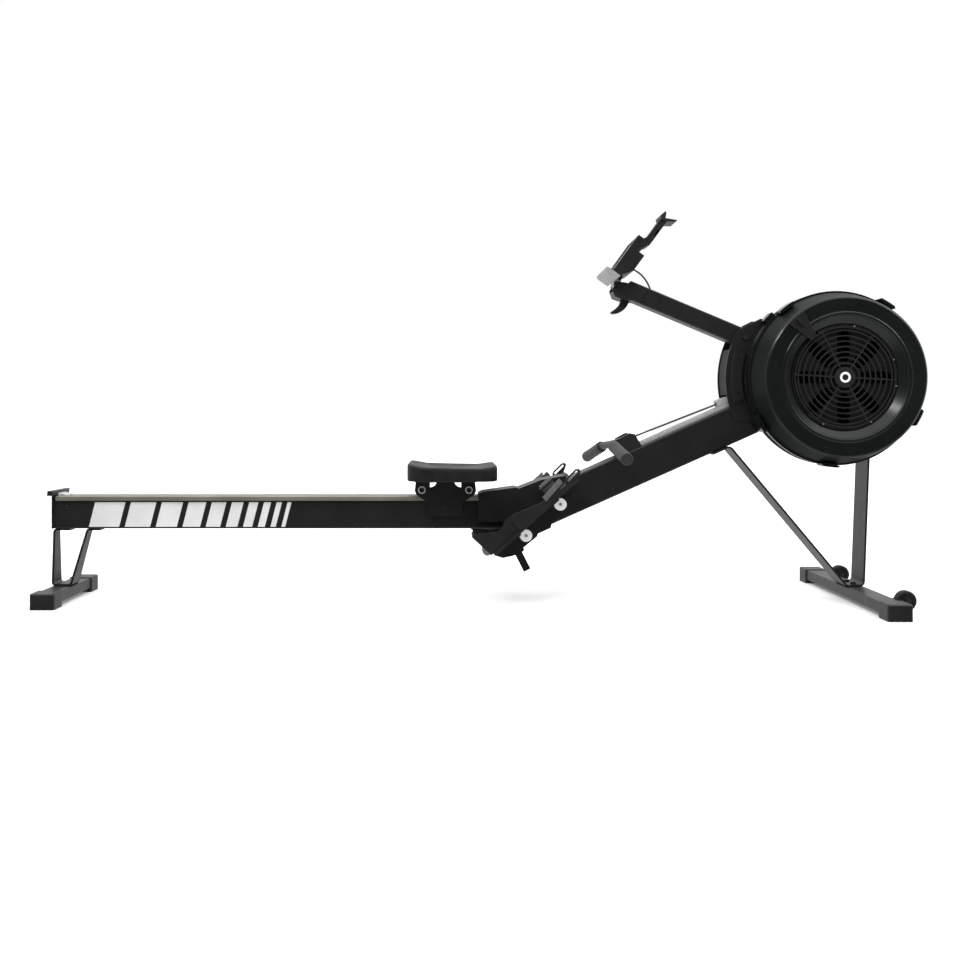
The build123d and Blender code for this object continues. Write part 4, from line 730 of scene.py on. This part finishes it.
def make_knob_caps():
    """Grey hexagon socket in the middle of each footboard knob."""
    low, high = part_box("stretcher_knobs")
    radius, below = 0.0052, 0.038
    hexagon = [(radius * math.cos(turn), radius * math.sin(turn))
               for turn in (math.pi * k / 3 for k in range(6))]
    mesh = bmesh.new()
    for along in (0.095, 0.226):
        spot = board_point(along, 0, -below)
        for y, out in ((low.y, -1), (high.y, 1)):
            where = frame_at((spot.x, y, spot.z), (0, 0, 1), (0, out, 0))
            add_slab(mesh, hexagon, 0.0012, where, 0.0003)
    finish_piece("knob_caps", mesh, "front_frame", "plastic_grey",
                 coating("knob_centre", grey(0.16), grey(0.26), (0.4, 0.55), patch=90.0,
                         strength=0.3, edge=grey(0.4)))


# ---------------------------------------------------------------- rail details
def make_rail_stripes():
    """Plain slanted bars in pale print on both sides of the monorail."""
    low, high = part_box("rail_beam")
    margin, lean, gap = 0.005, 0.018, 0.016
    film, sunk = 0.00025, 0.00005
    z0, z1 = low.z + margin, high.z - margin
    x, bars = -1.114, []
    for wide in (0.086, 0.072, 0.060, 0.050, 0.041, 0.033, 0.026, 0.020, 0.015, 0.011):
        bars.append((x, wide))
        x += wide + gap
    ink = coating("pale_print", grey(0.56), grey(0.64), (0.42, 0.55), patch=14.0, grain=1900.0,
                  strength=0.15, speck=grey(0.48), radius=0.0001)
    for label, side in SIDES.items():
        mesh = bmesh.new()
        wall = low.y if side < 0 else high.y
        for x, wide in bars:
            outline = ((x, z0), (x + wide, z0), (x + wide + lean, z1), (x + lean, z1))
            inner = [mesh.verts.new((px, wall - side * sunk, pz)) for px, pz in outline]
            outer = [mesh.verts.new((px, wall + side * film, pz)) for px, pz in outline]
            mesh.faces.new(inner)
            mesh.faces.new(list(reversed(outer)))
            close_loops(mesh, (inner, outer))
        finish_piece("rail_stripes_" + label, mesh, "monorail", "knob_white", ink)


def make_track_block():
    """Pale wedge block at the track's rear end, in front of the stop bar."""
    low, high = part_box("track_cap")
    mesh = bmesh.new()
    outline = ((0.0, 0.0), (0.026, 0.0), (0.026, 0.0022), (0.006, 0.0085), (0.0, 0.0085))
    half, sunk = 0.022, 0.0005
    upright = Matrix.Rotation(math.pi / 2, 4, "X")
    where = Matrix.Translation((low.x, half, high.z - sunk)) @ upright
    add_slab(mesh, outline, 2 * half, where, 0.0008)
    finish_piece("track_end_block", mesh, "monorail", "plastic_grey",
                 coating("pale_block", grey(0.42), grey(0.52), (0.4, 0.55), patch=40.0,
                         strength=0.3))


def make_axle_rings():
    """Bright washer face round the dark hexagon of each upper roller axle."""
    sunk = 0.0006
    profile = ((0.0, 0.0106), (0.0010, 0.0104), (0.0013, 0.0098), (0.0013, 0.0084),
               (0.0008, 0.0078), (0.0, 0.0077))
    mesh = bmesh.new()
    low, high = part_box("roller_axles")
    for wheel_pair in ("upper_rollers_rear", "upper_rollers_front"):
        near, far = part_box(wheel_pair)
        middle = (near + far) / 2
        for y, out in ((low.y, -1), (high.y, 1)):
            add_ring(mesh, Vector((middle.x, y - out * sunk, middle.z)), out, profile, 48)
    finish_piece("axle_rings", mesh, "seat", "steel",
                 coating("zinc_washer", grey(0.42), grey(0.56), (0.35, 0.5), metallic=0.3,
                         patch=120.0, strength=0.2))


# ---------------------------------------------------------------- fan details
def make_fan_badge():
    """Plain pale ring on the grille's hub."""
    low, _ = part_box("fan_grille")
    profile = ((0.0, 0.0145), (0.0008, 0.0145), (0.0013, 0.0137), (0.0013, 0.0093),
               (0.0008, 0.0085), (0.0, 0.0085))
    mesh = bmesh.new()
    add_ring(mesh, Vector((FAN_X, low.y, FAN_Z)), -1, profile, 64)
    finish_piece("hub_ring", mesh, "front_frame", "knob_white")


def make_fan_screws():
    """Small bright screws round the cone's foot, where the grille is fixed to the cover."""
    _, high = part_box("fan_grille")
    y, reach = high.y - 0.0080, 0.1402
    screw = ((0.0, 0.0), (0.0, 0.0024), (0.0010, 0.0024), (0.0016, 0.0018), (0.0016, 0.0011),
             (0.0008, 0.0009), (0.0008, 0.0))
    mesh = bmesh.new()
    for degrees in (20, 80, 245, 300, 350):
        turn = math.radians(degrees)
        spot = Vector((FAN_X + reach * math.cos(turn), y, FAN_Z + reach * math.sin(turn)))
        add_lathe(mesh, screw, spot, (0, -1, 0), 16)
    finish_piece("grille_screws", mesh, "front_frame", "steel")


# ---------------------------------------------------------------- monitor details
def make_display_marks():
    """Generic readout on the display: zero digits and rows of bars."""
    mesh = bmesh.new()
    film, face, stroke = 0.00012, -0.0031, 0.0018
    along, out = monitor_point(1, 0, 0) - MONITOR, monitor_point(0, 0, 1) - MONITOR

    def bar(a, y, long, wide):
        where = frame_at(monitor_point(a, y, face), along, out)
        outline = ((-long / 2, -wide / 2), (long / 2, -wide / 2), (long / 2, wide / 2),
                   (-long / 2, wide / 2))
        add_slab(mesh, outline, film, where)

    for y in (-0.036, -0.018, 0.010, 0.028):
        for a in (0.088, 0.070):
            for end in (0.0085, -0.0085):
                bar(a + end, y, stroke, 0.0085)
            for edge in (-0.0058, 0.0058):
                bar(a, y + edge, 0.0130, stroke)
    for k in range(12):
        bar(0.045, -0.040 + 0.0072 * k, 0.004 + 0.0007 * k, 0.0044)
    ink = coating("display_ink", grey(0.012), grey(0.022), (0.25, 0.4), patch=80.0, radius=0.0001)
    finish_piece("display_marks", mesh, "monitor", "screen", ink)


def make_phone_pad():
    """Ribbed grey pad on the phone rest."""
    mesh = bmesh.new()
    along, out = monitor_point(1, 0, 0) - MONITOR, monitor_point(0, 0, 1) - MONITOR
    first, spacing, rest_face = 0.151, 0.0052, -0.0282
    for k in range(11):
        where = frame_at(monitor_point(first + spacing * k, 0, rest_face), along, out)
        add_slab(mesh, round_outline(0.0030, 0.038, 0.0014, 3), 0.0019, where, 0.0004)
    finish_piece("phone_rest_ribs", mesh, "monitor", "rubber",
                 coating("grey_rubber", grey(0.055), grey(0.085), (0.6, 0.75), patch=60.0,
                         strength=0.4))


# ---------------------------------------------------------------- studio
def make_studio():
    """Pale floor, a soft surround that is darker on the camera's side, and the photo's camera."""
    scene = bpy.context.scene
    floor_mesh = bmesh.new()
    bmesh.ops.create_grid(floor_mesh, x_segments=1, y_segments=1, size=30.0)
    data = bpy.data.meshes.new("floor")
    floor_mesh.to_mesh(data)
    floor_mesh.free()
    floor = bpy.data.objects.new("floor", data)
    scene.collection.objects.link(floor)
    g = Graph("pale_floor")
    tone = g.ramp(g.noise(g.place(), 3.0, 2.0), (0.3, grey(0.93)), (0.7, grey(0.95)))
    g.set(Base_Color=tone, Roughness=0.9, Specular_IOR_Level=0.1, Emission_Color=(1, 1, 1, 1),
          Emission_Strength=0.12)
    data.materials.append(g.material)
    floor.visible_glossy = False

    world = bpy.data.worlds.new("studio")
    scene.world = world
    world.use_nodes = True
    nodes, links = world.node_tree.nodes, world.node_tree.links
    background = nodes["Background"]
    spot = nodes.new("ShaderNodeTexCoord")
    split = nodes.new("ShaderNodeSeparateXYZ")
    links.new(spot.outputs["Generated"], split.inputs[0])

    def ramp(value, low, high, to_low, to_high):
        node = nodes.new("ShaderNodeMapRange")
        node.interpolation_type = "SMOOTHSTEP"
        for key, number in zip(("From Min", "From Max", "To Min", "To Max"),
                               (low, high, to_low, to_high)):
            node.inputs[key].default_value = number
        links.new(value, node.inputs["Value"])
        return node.outputs[0]

    def mixed(share, base, value):
        node = nodes.new("ShaderNodeMix")
        links.new(share, node.inputs[0])
        links.new(base, node.inputs[2])
        node.inputs[3].default_value = value
        return node.outputs[0]

    sides = ramp(split.outputs["Y"], -0.80, 0.40, 0.03, 1.0)
    above = ramp(split.outputs["Z"], 0.25, 0.85, 0.0, 1.0)
    below = ramp(split.outputs["Z"], -0.35, -0.80, 0.0, 1.0)
    sky = mixed(below, mixed(above, sides, 1.85), 0.9)
    seen = nodes.new("ShaderNodeMix")
    path = nodes.new("ShaderNodeLightPath")
    links.new(path.outputs["Is Camera Ray"], seen.inputs[0])
    links.new(sky, seen.inputs[2])
    seen.inputs[3].default_value = 1.0
    links.new(seen.outputs[0], background.inputs["Strength"])
    background.inputs["Color"].default_value = (1.0, 1.0, 1.0, 1.0)

    for name, spot_at, aim, size, power in (
        ("key", (-1.3, -2.2, 2.9), (0.5, 0.0, 0.5), (1.2, 0.5), 34.0),
        ("side", (3.4, -1.2, 2.2), (0.8, 0.0, 0.5), (0.6, 1.2), 16.0),
    ):
        light = bpy.data.lights.new(name, "AREA")
        light.shape = "RECTANGLE"
        light.size, light.size_y = size
        light.energy = power
        lamp = bpy.data.objects.new(name, light)
        lamp.location = spot_at
        lamp.rotation_euler = (Vector(aim) - Vector(spot_at)).to_track_quat("-Z", "Y").to_euler()
        lamp.visible_camera = False
        scene.collection.objects.link(lamp)

    camera = bpy.data.cameras.new("camera")
    camera.sensor_width = 36.0
    camera.lens = 35.25
    camera.shift_x, camera.shift_y = 1 / 32, -1 / 15
    rig = bpy.data.objects.new("camera", camera)
    rig.location = (-0.0875, -2.700, 0.525)
    rig.rotation_euler = (math.pi / 2, 0, 0)
    scene.collection.objects.link(rig)
    scene.camera = rig
    scene.view_settings.view_transform = "Standard"


make_seat_pad()
make_grips()
make_chain()
make_cable()
make_foot_straps()
make_heel_bumpers()
make_knob_caps()
make_rail_stripes()
make_track_block()
make_axle_rings()
make_fan_badge()
make_fan_screws()
make_display_marks()
make_phone_pad()
make_studio()
